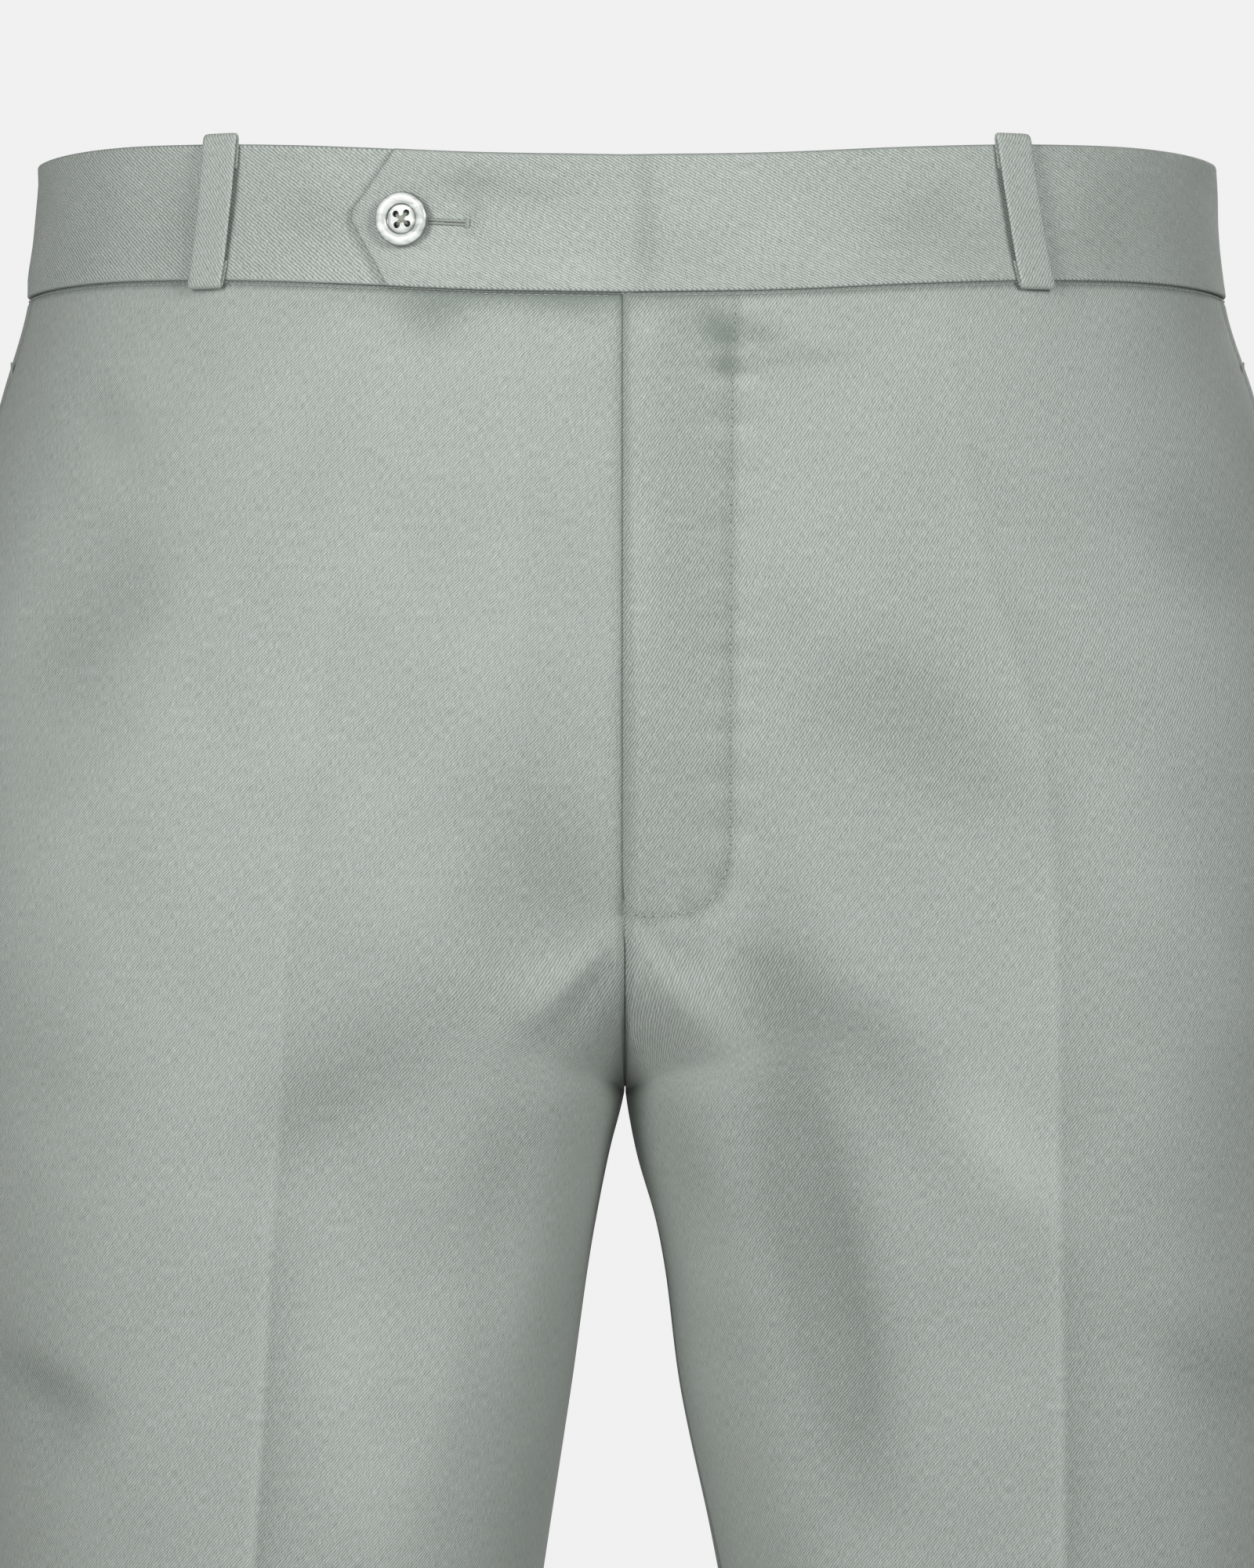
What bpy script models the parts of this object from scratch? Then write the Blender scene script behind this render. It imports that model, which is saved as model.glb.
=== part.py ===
"""Dress trousers, filled out with no wearer. Metres, +Z up.

The front faces -Y and the wearer's left is at +X. The origin is the middle of the waist opening, level with the
top edge of the waistband at the centre front.

Each side of the garment is one surface, P(run, row). run goes round the side in four quarters:
    0 centre front or inseam, 1 front crease, 2 side seam, 3 back crease, 4 centre back or inseam.
Above the crotch a row is half of the body's section, and below it a whole leg's. Between the two the half
section closes into the leg's, which gives the curved seat seam and the crotch point.
"""

import math

import bmesh
import bpy
import numpy as np
from mathutils import Matrix, Vector

RIGHT = -1
LEFT = 1
SIDES = {"right": RIGHT, "left": LEFT}

# Cloth
WALL = 0.0012
HEM_WALL = 0.0024
HEM_DEPTH = 0.038
SEAM_GAP = 0.0003
HALF_GAP = SEAM_GAP / 2

# Levels
BAND_DEPTH = 0.0385
FORK_TOP = -0.170
FORK_DEPTH = 0.094
CROTCH = FORK_TOP - FORK_DEPTH
FRONT_FORK_START = 0.49
FRONT_FORK_DEPTH = 0.048
PARTING_TOP = -0.120
PARTING_BOTTOM = -0.310
SEAT_REACH = 0.70
FLY_BOTTOM = -0.212
HEM = -1.062
HEM_SLANT = 0.010
SLANT_TOP = -0.900
SLANT_DEPTH = 0.150
TURN_STEP = 0.001

# The body's section: half widths to the right and left, how far forward and back it reaches, and how square it is.
BODY_COLUMNS = ("height", "half_right", "half_left", "front", "back", "power")
BODY = (
    (0.012, 0.1700, 0.1712, 0.1200, 0.1200, 2.05),
    (-0.012, 0.1712, 0.1724, 0.1208, 0.1212, 2.05),
    (-0.038, 0.1742, 0.1752, 0.1220, 0.1245, 2.08),
    (-0.062, 0.1812, 0.1828, 0.1233, 0.1300, 2.12),
    (-0.095, 0.1910, 0.1915, 0.1244, 0.1385, 2.20),
    (-0.130, 0.1975, 0.1985, 0.1250, 0.1450, 2.32),
    (-0.170, 0.2015, 0.2035, 0.1242, 0.1480, 2.50),
    (-0.215, 0.2025, 0.2050, 0.1215, 0.1450, 2.75),
    (-0.270, 0.2005, 0.2045, 0.1190, 0.1340, 2.85),
)

# Each leg's section, in distances from the middle plane for the across columns. inner_power squares off the
# quarter between the inseam and the front crease, which is fullest just under the fly.
LEG_COLUMNS = (
    "height", "inner", "crease", "back_crease", "outer", "front", "back", "middle", "inseam_ahead",
    "inner_power", "seat_power",
)
RIGHT_LEG = (
    (-0.170, 0.0000, 0.0880, 0.1000, 0.2015, 0.1242, 0.1450, -0.006, 0.000, 4.60, 3.20),
    (-0.225, 0.0000, 0.0950, 0.1000, 0.2022, 0.1206, 0.1390, -0.010, 0.000, 4.20, 3.20),
    (-0.264, 0.0002, 0.0970, 0.1010, 0.2008, 0.1155, 0.1290, -0.012, 0.000, 3.70, 3.00),
    (-0.280, 0.0042, 0.0980, 0.1015, 0.1998, 0.1145, 0.1250, -0.011, 0.003, 3.50, 2.80),
    (-0.302, 0.0086, 0.0995, 0.1025, 0.1980, 0.1127, 0.1200, -0.010, 0.006, 3.30, 2.60),
    (-0.350, 0.0156, 0.1020, 0.1050, 0.1935, 0.1095, 0.1115, -0.008, 0.009, 3.05, 2.40),
    (-0.404, 0.0238, 0.1052, 0.1080, 0.1885, 0.1045, 0.1045, -0.006, 0.010, 2.85, 2.30),
    (-0.500, 0.0368, 0.1118, 0.1140, 0.1865, 0.0955, 0.0945, -0.004, 0.010, 2.60, 2.20),
    (-0.620, 0.0505, 0.1195, 0.1215, 0.1885, 0.0862, 0.0860, -0.002, 0.010, 2.40, 2.12),
    (-0.780, 0.0640, 0.1300, 0.1315, 0.1955, 0.0765, 0.0795, 0.000, 0.009, 2.20, 2.06),
    (-0.930, 0.0760, 0.1395, 0.1405, 0.2030, 0.0685, 0.0750, 0.003, 0.008, 2.10, 2.06),
    (-1.075, 0.0870, 0.1480, 0.1485, 0.2095, 0.0610, 0.0710, 0.005, 0.008, 2.06, 2.06),
)
LEFT_LEG = (
    (-0.170, 0.0000, 0.1150, 0.1080, 0.2035, 0.1242, 0.1450, -0.006, 0.000, 4.60, 3.20),
    (-0.225, 0.0000, 0.1190, 0.1090, 0.2050, 0.1206, 0.1390, -0.010, 0.000, 4.20, 3.20),
    (-0.264, 0.0002, 0.1195, 0.1090, 0.2042, 0.1155, 0.1290, -0.012, 0.000, 3.70, 3.00),
    (-0.280, 0.0030, 0.1198, 0.1090, 0.2040, 0.1136, 0.1250, -0.011, 0.008, 3.50, 2.80),
    (-0.302, 0.0092, 0.1204, 0.1090, 0.2035, 0.1110, 0.1195, -0.010, 0.018, 3.30, 2.60),
    (-0.350, 0.0160, 0.1215, 0.1100, 0.2018, 0.1058, 0.1100, -0.008, 0.026, 3.05, 2.40),
    (-0.404, 0.0274, 0.1222, 0.1120, 0.2010, 0.1002, 0.1015, -0.006, 0.027, 2.85, 2.30),
    (-0.500, 0.0400, 0.1250, 0.1160, 0.1985, 0.0915, 0.0920, -0.004, 0.024, 2.60, 2.20),
    (-0.620, 0.0520, 0.1300, 0.1210, 0.1970, 0.0830, 0.0850, -0.002, 0.021, 2.40, 2.12),
    (-0.780, 0.0640, 0.1370, 0.1290, 0.1990, 0.0745, 0.0795, 0.001, 0.018, 2.20, 2.06),
    (-0.930, 0.0740, 0.1440, 0.1370, 0.2030, 0.0670, 0.0752, 0.004, 0.016, 2.10, 2.06),
    (-1.075, 0.0830, 0.1500, 0.1440, 0.2080, 0.0600, 0.0715, 0.006, 0.015, 2.06, 2.06),
)
LEGS = {RIGHT: RIGHT_LEG, LEFT: LEFT_LEG}
LEG_POWER = 2.06
FLATTEST = 0.99999

# Where the front crease and the side seam run on the body's section, above the fork.
LINE_COLUMNS = ("height", "crease_right", "crease_left", "back_crease", "side_ahead")
LINES = (
    (0.012, 0.0640, 0.0840, 0.0780, 0.020),
    (-0.062, 0.0710, 0.0910, 0.0850, 0.021),
    (-0.110, 0.0790, 0.0985, 0.0920, 0.022),
    (-0.170, 0.0880, 0.1150, 0.1000, 0.023),
    (-0.225, 0.0950, 0.1190, 0.1000, 0.023),
    (-0.264, 0.0970, 0.1195, 0.1010, 0.023),
    (-0.404, 0.1052, 0.1222, 0.1080, 0.020),
    (-0.620, 0.1195, 0.1300, 0.1215, 0.016),
    (-1.075, 0.1480, 0.1500, 0.1485, 0.012),
)

# The pressed creases: how far each stands out. It falls off to nothing over CREASE_REACH.
CREASE_COLUMNS = ("height", "front_right", "front_left", "back_right", "back_left")
CREASES = (
    (0.012, 0.0000, 0.0000, 0.0000, 0.0000),
    (-0.065, 0.0000, 0.0004, 0.0000, 0.0000),
    (-0.170, 0.0004, 0.0008, 0.0000, 0.0000),
    (-0.265, 0.0010, 0.0016, 0.0008, 0.0008),
    (-0.350, 0.0024, 0.0026, 0.0022, 0.0020),
    (-0.500, 0.0038, 0.0036, 0.0036, 0.0034),
    (-0.700, 0.0050, 0.0048, 0.0048, 0.0046),
    (-1.075, 0.0056, 0.0054, 0.0052, 0.0052),
)
CREASE_REACH = 0.016

# Soft folds, as ridges or, below zero, troughs along a straight line seen from the front or the back.
# Columns: face, side, across and height of one end, across and height of the other, spread, rise.
FOLDS = (
    ("front", LEFT, 0.082, -0.262, 0.120, -0.300, 0.013, 0.0032),
    ("front", LEFT, 0.066, -0.250, 0.116, -0.305, 0.012, -0.0026),
    ("front", LEFT, 0.032, -0.190, 0.068, -0.370, 0.014, -0.0030),
    ("front", LEFT, 0.052, -0.140, 0.112, -0.182, 0.020, -0.0022),
    ("front", LEFT, 0.016, -0.218, 0.040, -0.262, 0.011, 0.0018),
    ("front", RIGHT, -0.010, -0.218, -0.030, -0.242, 0.010, 0.0018),
    ("front", RIGHT, -0.005, -0.150, -0.030, -0.176, 0.014, -0.0016),
    ("front", RIGHT, -0.098, -0.276, -0.052, -0.246, 0.015, -0.0022),
    ("front", RIGHT, -0.022, -0.290, -0.060, -0.380, 0.015, 0.0020),
    ("front", RIGHT, -0.130, -0.100, -0.168, -0.160, 0.018, -0.0016),
    ("back", RIGHT, -0.012, -0.255, -0.090, -0.205, 0.016, -0.0032),
    ("back", LEFT, 0.012, -0.258, 0.096, -0.212, 0.017, -0.0030),
    ("back", RIGHT, -0.020, -0.300, -0.100, -0.262, 0.015, 0.0030),
    ("back", LEFT, 0.024, -0.305, 0.092, -0.272, 0.014, 0.0026),
    ("back", RIGHT, -0.060, -0.520, -0.150, -0.560, 0.018, -0.0024),
    ("back", LEFT, 0.070, -0.550, 0.165, -0.580, 0.019, -0.0026),
    ("front", LEFT, 0.085, -0.610, 0.165, -0.640, 0.020, -0.0022),
    ("front", RIGHT, -0.075, -0.640, -0.155, -0.660, 0.020, -0.0020),
)

FOLD_ENDS = 0.12
FOLD_CLEAR_SEAT = 0.35
FOLD_CLEAR_SIDE = 0.50

# The fly: the left front stands out over the right one's edge, and comes back to the body by the stitching.
FLY_RISE = 0.00155
FLY_FLAT = 0.008
FLY_WIDTH = 0.036
FLY_LAP = 0.0050
FLY_EDGE = -0.0005
FLY_FADE = 0.013

# The waistband's top edge rises from the centre front to the sides and back.
RISE_COLUMNS = ("turn", "rise")
BAND_RISE = (
    (0, 0.0000),
    (14, 0.0010),
    (26, 0.0030),
    (36, 0.0044),
    (52, 0.0056),
    (90, 0.0045),
    (135, 0.0075),
    (180, 0.0100),
)
BAND_PROUD = 0.0006
BAND_WALL = 0.0030
TAB_SHOULDER = 0.0640
TAB_TIP = 0.0765
TAB_PROUD = 0.0019
TAB_WALL = 0.0020
UNDER_TAB = -0.0004
UNDER_START = 0.0780
UNDER_END = 0.0850
UNDER_COLUMNS = 7
BAND_END = 0.0010
BEND_WIDTH = 0.0300
BEND_COLUMNS = (0.020, 0.010, 0.004, 0.0005)
BEND_THICKER = 0.0008
TAB_COLUMNS = (0.12, 0.30, 0.48, 0.66, 0.83, 1.00)

# Belt loops: name, side, distance round the band from the centre front, how far the foot leans outwards.
LOOPS = (
    ("loop_front_right", RIGHT, 0.1195, 0.0018),
    ("loop_front_left", LEFT, 0.1155, 0.0046),
    ("loop_back_right", RIGHT, 0.300, 0.0012),
    ("loop_back_left", LEFT, 0.300, 0.0012),
    ("loop_centre_back", LEFT, 0.466, 0.0),
)
LOOP_WIDTH = 0.0100
LOOP_WALL = 0.0011
LOOP_ABOVE = 0.0030
LOOP_BELOW = 0.0026

# The button, and its profile about its own axis as (radius, height).
BUTTON_ACROSS = -0.0606
BUTTON_HEIGHT = -0.0177
BUTTON_LIFT = 0.0007
BUTTON_PROFILE = (
    (0.0000, 0.0000),
    (0.0062, 0.0000),
    (0.0074, 0.0006),
    (0.00765, 0.0013),
    (0.0074, 0.0021),
    (0.0064, 0.0026),
    (0.0054, 0.0025),
    (0.0044, 0.0018),
    (0.0038, 0.0016),
    (0.0000, 0.0016),
)
BUTTON_STEPS = 28
MERGE = 0.00001
HOLE_RADIUS = 0.0009
HOLE_RING = 0.0022
HOLE_DEPTH = 0.0060
HOLE_STEPS = 8

# Strips behind the fly: distance across, and how far the strip's front and back lie from the body's surface.
STRIP_TOP = -0.0425
STRIP_BOTTOM = -0.2060
STRIP_ROWS = 9
ZIP = (
    (0.0010, -0.0015, -0.0023),
    (0.0050, -0.0020, -0.0028),
    (0.0085, -0.0034, -0.0042),
    (0.0090, -0.0026, -0.0042),
    (0.0130, -0.0026, -0.0042),
    (0.0135, -0.0034, -0.0042),
    (0.0180, -0.0026, -0.0034),
    (0.0240, -0.0020, -0.0028),
)
UNDERLAP = (
    (-0.0140, -0.0015, -0.0027),
    (-0.0040, -0.0019, -0.0031),
    (0.0010, -0.0027, -0.0039),
    (0.0050, -0.0032, -0.0044),
    (0.0090, -0.0046, -0.0058),
    (0.0140, -0.0046, -0.0058),
    (0.0180, -0.0038, -0.0050),
    (0.0240, -0.0032, -0.0044),
    (0.0340, -0.0034, -0.0046),
)
SLIDER_MIDDLE = 0.0110
SLIDER_FRONT = -0.0004
SLIDER_BACK = -0.0023
# The slider and its pull: height, half width, and how far the front and back lie from the body's surface.
SLIDER = (
    (-0.0470, 0.0028, -0.0008, SLIDER_BACK),
    (-0.0482, 0.0035, SLIDER_FRONT, SLIDER_BACK),
    (-0.0540, 0.0035, SLIDER_FRONT, SLIDER_BACK),
    (-0.0560, 0.0026, SLIDER_FRONT, SLIDER_BACK),
    (-0.0568, 0.0012, -0.0007, -0.0019),
    (-0.0600, 0.0012, -0.0007, -0.0019),
    (-0.0610, 0.0022, -0.0007, -0.0019),
    (-0.0760, 0.0026, -0.0007, -0.0019),
    (-0.0775, 0.0018, -0.0007, -0.0019),
)

POCKET_TOP = -0.052
POCKET_BOTTOM = -0.222
FACING_WALL = 0.0010

# Where the columns of each quarter lie, closest where the leg turns in to the seat seam. Then the rows' levels.
QUARTERS = (
    (0.0, 0.15, 0.28, 0.39, 0.48, 0.57, 0.68, 0.83),
    (0.0, 0.125, 0.25, 0.375, 0.5, 0.625, 0.75, 0.875),
    (0.0, 0.111, 0.222, 0.333, 0.444, 0.556, 0.667, 0.778, 0.889),
    (0.0, 0.18, 0.36, 0.53, 0.69, 0.85),
)
SIDE_SEAM = len(QUARTERS[0]) + len(QUARTERS[1])
BODY_LEVELS = (-0.0388, -0.0500, -0.0620, -0.0760, -0.0920, -0.1100, -0.1300, -0.1500)
FORK_PARTS = (0.0, 0.12, 0.24, 0.35, 0.45, 0.56, 0.67, 0.77, 0.86, 0.93, 0.975)
LEG_LEVELS = (
    CROTCH, -0.272, -0.282, -0.296, -0.312, -0.332, -0.356, -0.384, -0.416, -0.452, -0.492, -0.536,
    -0.580, -0.620, -0.662, -0.710, -0.765, -0.825, -0.890, -0.955,
)
BAND_SPANS = 26
ROUND_STEPS = 721
SMALL_TURN = 0.01
BAND_ROWS = (0.0, 0.25, 0.5, 0.75, 1.0)

SHARP = math.radians(50)
WOOL = (0.45, 0.485, 0.455)
WOOL_DARK = (0.36, 0.39, 0.365)
PEARL = (0.86, 0.87, 0.83)
METAL = (0.62, 0.62, 0.60)
PLASTIC = (0.42, 0.45, 0.42)


def along(table, names, wanted, at):
    """One named column of a table, on a smooth curve through its rows."""
    rows = sorted(table)
    known = np.array([row[0] for row in rows], float)
    value = np.array([row[names.index(wanted)] for row in rows], float)
    slope = np.gradient(value, known)
    at = np.asarray(at, float)
    start = np.clip(np.searchsorted(known, at) - 1, 0, len(known) - 2)
    span = known[start + 1] - known[start]
    part = np.clip((at - known[start]) / span, 0.0, 1.0)
    first = (1 + 2 * part) * (1 - part) ** 2 * value[start] + part * (1 - part) ** 2 * span * slope[start]
    last = part**2 * (3 - 2 * part) * value[start + 1] + part**2 * (part - 1) * span * slope[start + 1]
    return first + last


def ease(part):
    """0 to 1 with level ends."""
    part = np.clip(part, 0.0, 1.0)
    return part * part * (3 - 2 * part)


def mix(first, second, part):
    return first + (second - first) * part


def rounded(value, power):
    """A sine or cosine, squared off as a superellipse needs."""
    return np.sign(value) * np.abs(value) ** (2.0 / power)


def side_name(side):
    return "right" if side == RIGHT else "left"


def between(anchors, run):
    """The angle at each run, from the angles of the five lines that bound the quarters."""
    quarter = np.clip(np.floor(run).astype(int), 0, 3)
    anchors = np.stack([np.broadcast_to(anchor, run.shape) for anchor in anchors])
    start = np.take_along_axis(anchors, quarter[None], 0)[0]
    end = np.take_along_axis(anchors, quarter[None] + 1, 0)[0]
    return mix(start, end, run - quarter)


def body_angle(side, run, height):
    """Turn about the body from the centre front, in radians."""
    half = along(BODY, BODY_COLUMNS, f"half_{side_name(side)}", height)
    power = along(BODY, BODY_COLUMNS, "power", height)
    front = along(BODY, BODY_COLUMNS, "front", height)
    crease = along(LINES, LINE_COLUMNS, f"crease_{side_name(side)}", height)
    back_crease = along(LINES, LINE_COLUMNS, "back_crease", height)
    ahead = along(LINES, LINE_COLUMNS, "side_ahead", height)
    anchors = (
        0.0,
        np.arcsin((crease / half) ** (power / 2)),
        np.arccos((ahead / front) ** (power / 2)),
        math.pi - np.arcsin((back_crease / half) ** (power / 2)),
        math.pi,
    )
    return between(anchors, run)


def body_point(side, angle, height):
    """(across, deep) of the body's half section."""
    half = along(BODY, BODY_COLUMNS, f"half_{side_name(side)}", height)
    power = along(BODY, BODY_COLUMNS, "power", height)
    front = along(BODY, BODY_COLUMNS, "front", height)
    back = along(BODY, BODY_COLUMNS, "back", height)
    turned = np.cos(angle)
    deep = -np.where(turned > 0, front, back) * rounded(turned, power)
    return side * half * rounded(np.sin(angle), power), deep


def body_depth(side, across, height, behind):
    """How deep the body's section is at a place across."""
    half = along(BODY, BODY_COLUMNS, f"half_{side_name(side)}", height)
    power = along(BODY, BODY_COLUMNS, "power", height)
    front = along(BODY, BODY_COLUMNS, "front", height)
    back = along(BODY, BODY_COLUMNS, "back", height)
    reach = (1 - np.clip(np.abs(across) / half, 0.0, 1.0) ** power) ** (1 / power)
    return np.where(behind, back, -front) * reach


def corner(angle, power):
    """(turned, lifted): the point of a superellipse of unit size in the direction of each angle."""
    turned = np.cos(angle)
    lifted = np.sin(angle)
    far = (np.abs(turned) ** power + np.abs(lifted) ** power) ** (-1 / power)
    return far * turned, far * lifted


def direction(lifted, power):
    """The direction in which that superellipse reaches a height."""
    lifted = np.minimum(lifted, FLATTEST)
    return np.arctan2(lifted, (1 - lifted**power) ** (1 / power))


def leg_point(side, run, height, joined, front_web, back_web, close, body_across):
    """(across, deep) of a leg's section. Where the legs are joined, the webs say how far out the seat seam is.

    Where close is below 1, the point moves across towards the body's, and stays on the leg's section.
    """
    size = {name: along(LEGS[side], LEG_COLUMNS, name, height) for name in LEG_COLUMNS[1:]}
    inner = np.maximum(size["inner"], HALF_GAP)
    ahead_side = along(LINES, LINE_COLUMNS, "side_ahead", height)
    ahead_inside = np.maximum(size["inseam_ahead"], 0.0) / (size["front"] + size["middle"])
    start = direction(np.where(joined, front_web, ahead_inside), size["inner_power"])
    end = np.where(joined, -direction(back_web, size["seat_power"]), start)
    seam = math.pi - direction(ahead_side / size["front"], LEG_POWER)
    angle = between((start, math.pi / 2, seam, 1.5 * math.pi, 2 * math.pi + end), run)
    ahead = np.sin(angle) > 0
    inside = np.cos(angle) > 0
    power = np.where(inside, np.where(ahead, size["inner_power"], size["seat_power"]), LEG_POWER)
    turned, lifted = corner(angle, power)
    furthest = np.where(ahead, corner(start, size["inner_power"])[0], corner(end, size["seat_power"])[0])
    pivot = np.where(ahead, size["crease"], size["back_crease"])
    reach = np.where(inside, pivot - inner, size["outer"] - pivot) / np.where(inside & joined, furthest, 1.0)
    across = mix(body_across, side * (pivot - turned * reach), close)
    moved = inside & (close < 1)
    turned = np.where(moved, np.clip((pivot - side * across) / reach, 0.0, 1.0), turned)
    lifted = np.where(moved, np.sign(lifted) * (1 - np.abs(turned) ** power) ** (1 / power), lifted)
    level = np.where(inside, size["middle"] * np.abs(turned), 0.0)
    depth = np.where(ahead, size["front"], size["back"])
    deep = level - lifted * (depth + np.sign(lifted) * level)
    return across, deep


def fork_turn(part, start, drop):
    """The turn, 0 to 90 degrees, round the quarter ellipse of a seat seam, slowing down to the crotch."""
    part = np.clip((part - start) / (1 - start), 0.0, 1.0)
    speed = FORK_DEPTH * (1 - start) / drop
    return (math.pi / 2) * (3 * part**2 - 2 * part**3) + speed * (part - 2 * part**2 + part**3)


def band_rise(angle):
    return along(BAND_RISE, RISE_COLUMNS, "rise", np.degrees(np.abs(angle)))


def levels():
    """Each row's (height at the side, part of the fork gone by). The part is 0 above the fork and 1 below it."""
    rows = [(height, 0.0) for height in BODY_LEVELS]
    rows += [(FORK_TOP - part * FORK_DEPTH, part) for part in FORK_PARTS]
    rows += [(height, 1.0) for height in LEG_LEVELS]
    rows += [(HEM + HEM_DEPTH + step, 1.0) for step in (TURN_STEP, -TURN_STEP)]
    return np.array(rows + [(HEM, 1.0)])


def runs():
    found = [quarter + np.array(columns) for quarter, columns in enumerate(QUARTERS)]
    return np.append(np.concatenate(found), 4.0)


def base_surface(side, rows, run):
    """The side's surface without folds: an array of points, a row for each level."""
    height, part = (np.repeat(rows[:, index, None], len(run), 1) for index in (0, 1))
    run = np.repeat(run[None], len(rows), 0)
    lift = band_rise(body_angle(side, run, height)) * ease((height - FORK_TOP) / (BODY_LEVELS[0] - FORK_TOP))
    slant = HEM_SLANT * np.clip(np.sin((run - 1) * math.pi / 2), 0, 1) * ease((SLANT_TOP - height) / SLANT_DEPTH)
    front_turn = fork_turn(part, FRONT_FORK_START, FRONT_FORK_DEPTH)
    back_turn = fork_turn(part, 0.0, FORK_DEPTH)
    inside = (part > 0) & (part < 1)
    front_seam = CROTCH + FRONT_FORK_DEPTH - FRONT_FORK_DEPTH * np.sin(front_turn)
    front_seam = np.where(inside & (part > FRONT_FORK_START), front_seam, height)
    back_seam = np.where(inside, FORK_TOP - FORK_DEPTH * np.sin(back_turn), height)
    height = mix(back_seam, height, ease((4 - run) / SEAT_REACH))
    height = mix(front_seam, height, ease(run / SEAT_REACH)) + lift - slant
    parted = mix(CROTCH, PARTING_BOTTOM, ease(np.minimum(run, 4 - run) / SEAT_REACH))
    close = ease((PARTING_TOP - height) / (PARTING_TOP - parted))
    body = body_point(side, body_angle(side, run, height), height)
    leg = leg_point(side, run, height, part < 1, np.cos(front_turn), np.cos(back_turn), close, body[0])
    body_deep = np.where(np.abs(run - 2) > 1, body_depth(side, leg[0], height, run > 2), body[1])
    return np.stack([leg[0], mix(body_deep, leg[1], close), height], -1)


def normals(side, points, open_rows):
    """Outward directions. Rows above the crotch meet the other side at the middle plane, and lower ones close."""
    round_way = np.gradient(points, axis=1)
    closing = points[:, 1] - points[:, -2]
    round_way[:, 0] = np.where(open_rows[:, None], round_way[:, 0], closing)
    round_way[:, -1] = np.where(open_rows[:, None], round_way[:, -1], closing)
    found = side * np.cross(np.gradient(points, axis=0), round_way)
    found[open_rows, 0, 0] = 0.0
    found[open_rows, -1, 0] = 0.0
    crotch_row = np.count_nonzero(open_rows)
    found[crotch_row, (0, -1)] = (0.0, 0.0, -1.0)
    return found / np.linalg.norm(found, axis=-1, keepdims=True)


def crease_rise(side, points, run):
    """How far the pressed creases stand out of each point."""
    steps = np.linalg.norm(np.diff(points, axis=1), axis=-1)
    distance = np.concatenate([np.zeros((len(points), 1)), np.cumsum(steps, 1)], 1)
    total = np.zeros(points.shape[:2])
    for face, quarter in (("front", 1), ("back", 3)):
        from_crease = np.abs(distance - distance[:, [np.searchsorted(run, quarter)]])
        rise = along(CREASES, CREASE_COLUMNS, f"{face}_{side_name(side)}", points[..., 2])
        total += rise * np.exp(-from_crease / CREASE_REACH)
    return total


def fold_rise(side, points, run):
    """How far the soft folds raise or sink each point."""
    total = np.zeros(points.shape[:2])
    for face, fold_side, x_from, z_from, x_to, z_to, spread, rise in FOLDS:
        if fold_side != side:
            continue
        line = np.array((x_to - x_from, z_to - z_from))
        gone = points[..., (0, 2)] - (x_from, z_from)
        part = np.clip(gone @ line / (line @ line), 0.0, 1.0)
        off = np.linalg.norm(gone - part[..., None] * line, axis=-1)
        shape = rise * np.exp(-((off / spread) ** 2)) * np.sin(math.pi * mix(FOLD_ENDS, 1 - FOLD_ENDS, part))
        total += np.where((run < 2) == (face == "front"), shape, 0.0)
    beside_fly = ease((np.abs(points[..., 0]) - FLY_WIDTH / 2) / FLY_WIDTH)
    below_fly = ease((FLY_BOTTOM - points[..., 2]) / FLY_FADE)
    free = np.maximum(beside_fly, below_fly)
    from_seat = np.minimum(run, 4 - run)
    return total * free * ease(from_seat / FOLD_CLEAR_SEAT) * ease(np.abs(run - 2) / FOLD_CLEAR_SIDE)


def fly_rise(side, points, run):
    """How far the left front stands out over the fly."""
    if side == RIGHT:
        return np.zeros(points.shape[:2])
    across = 1 - ease((np.abs(points[..., 0]) - FLY_FLAT) / (FLY_WIDTH - FLY_FLAT))
    down = ease((points[..., 2] - FLY_BOTTOM + FLY_FADE) / FLY_FADE)
    return FLY_RISE * across * down * (run < 2)


def side_surface(side, rows, run):
    """(points, outward directions) of a side, with its creases, folds and fly."""
    points = base_surface(side, rows, run)
    above = points[:, 0, 2] > CROTCH + 1e-6
    out = normals(side, points, above)
    rise = crease_rise(side, points, run) + fold_rise(side, points, run) + fly_rise(side, points, run)
    points = points + rise[..., None] * out
    return points, normals(side, points, above)


def trim_middle(side, points, rows_above, edge, front):
    """Moves an edge at the middle plane to its place: the fly's lap above its foot, half a gap elsewhere."""
    height = points[:, edge, 2]
    place = np.full(len(points), side * HALF_GAP)
    if front:
        fly_edge = FLY_EDGE if side == LEFT else FLY_LAP
        place = mix(place, fly_edge, ease((height - FLY_BOTTOM) / FLY_FADE))
    points[rows_above, edge, 0] = place[rows_above]


def trim_seam(points, rows, edge, inside):
    """Moves an edge half a gap along the cloth, away from its seam."""
    away = points[rows, inside] - points[rows, edge]
    points[rows, edge] += HALF_GAP * away / np.linalg.norm(away, axis=-1, keepdims=True)


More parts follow.
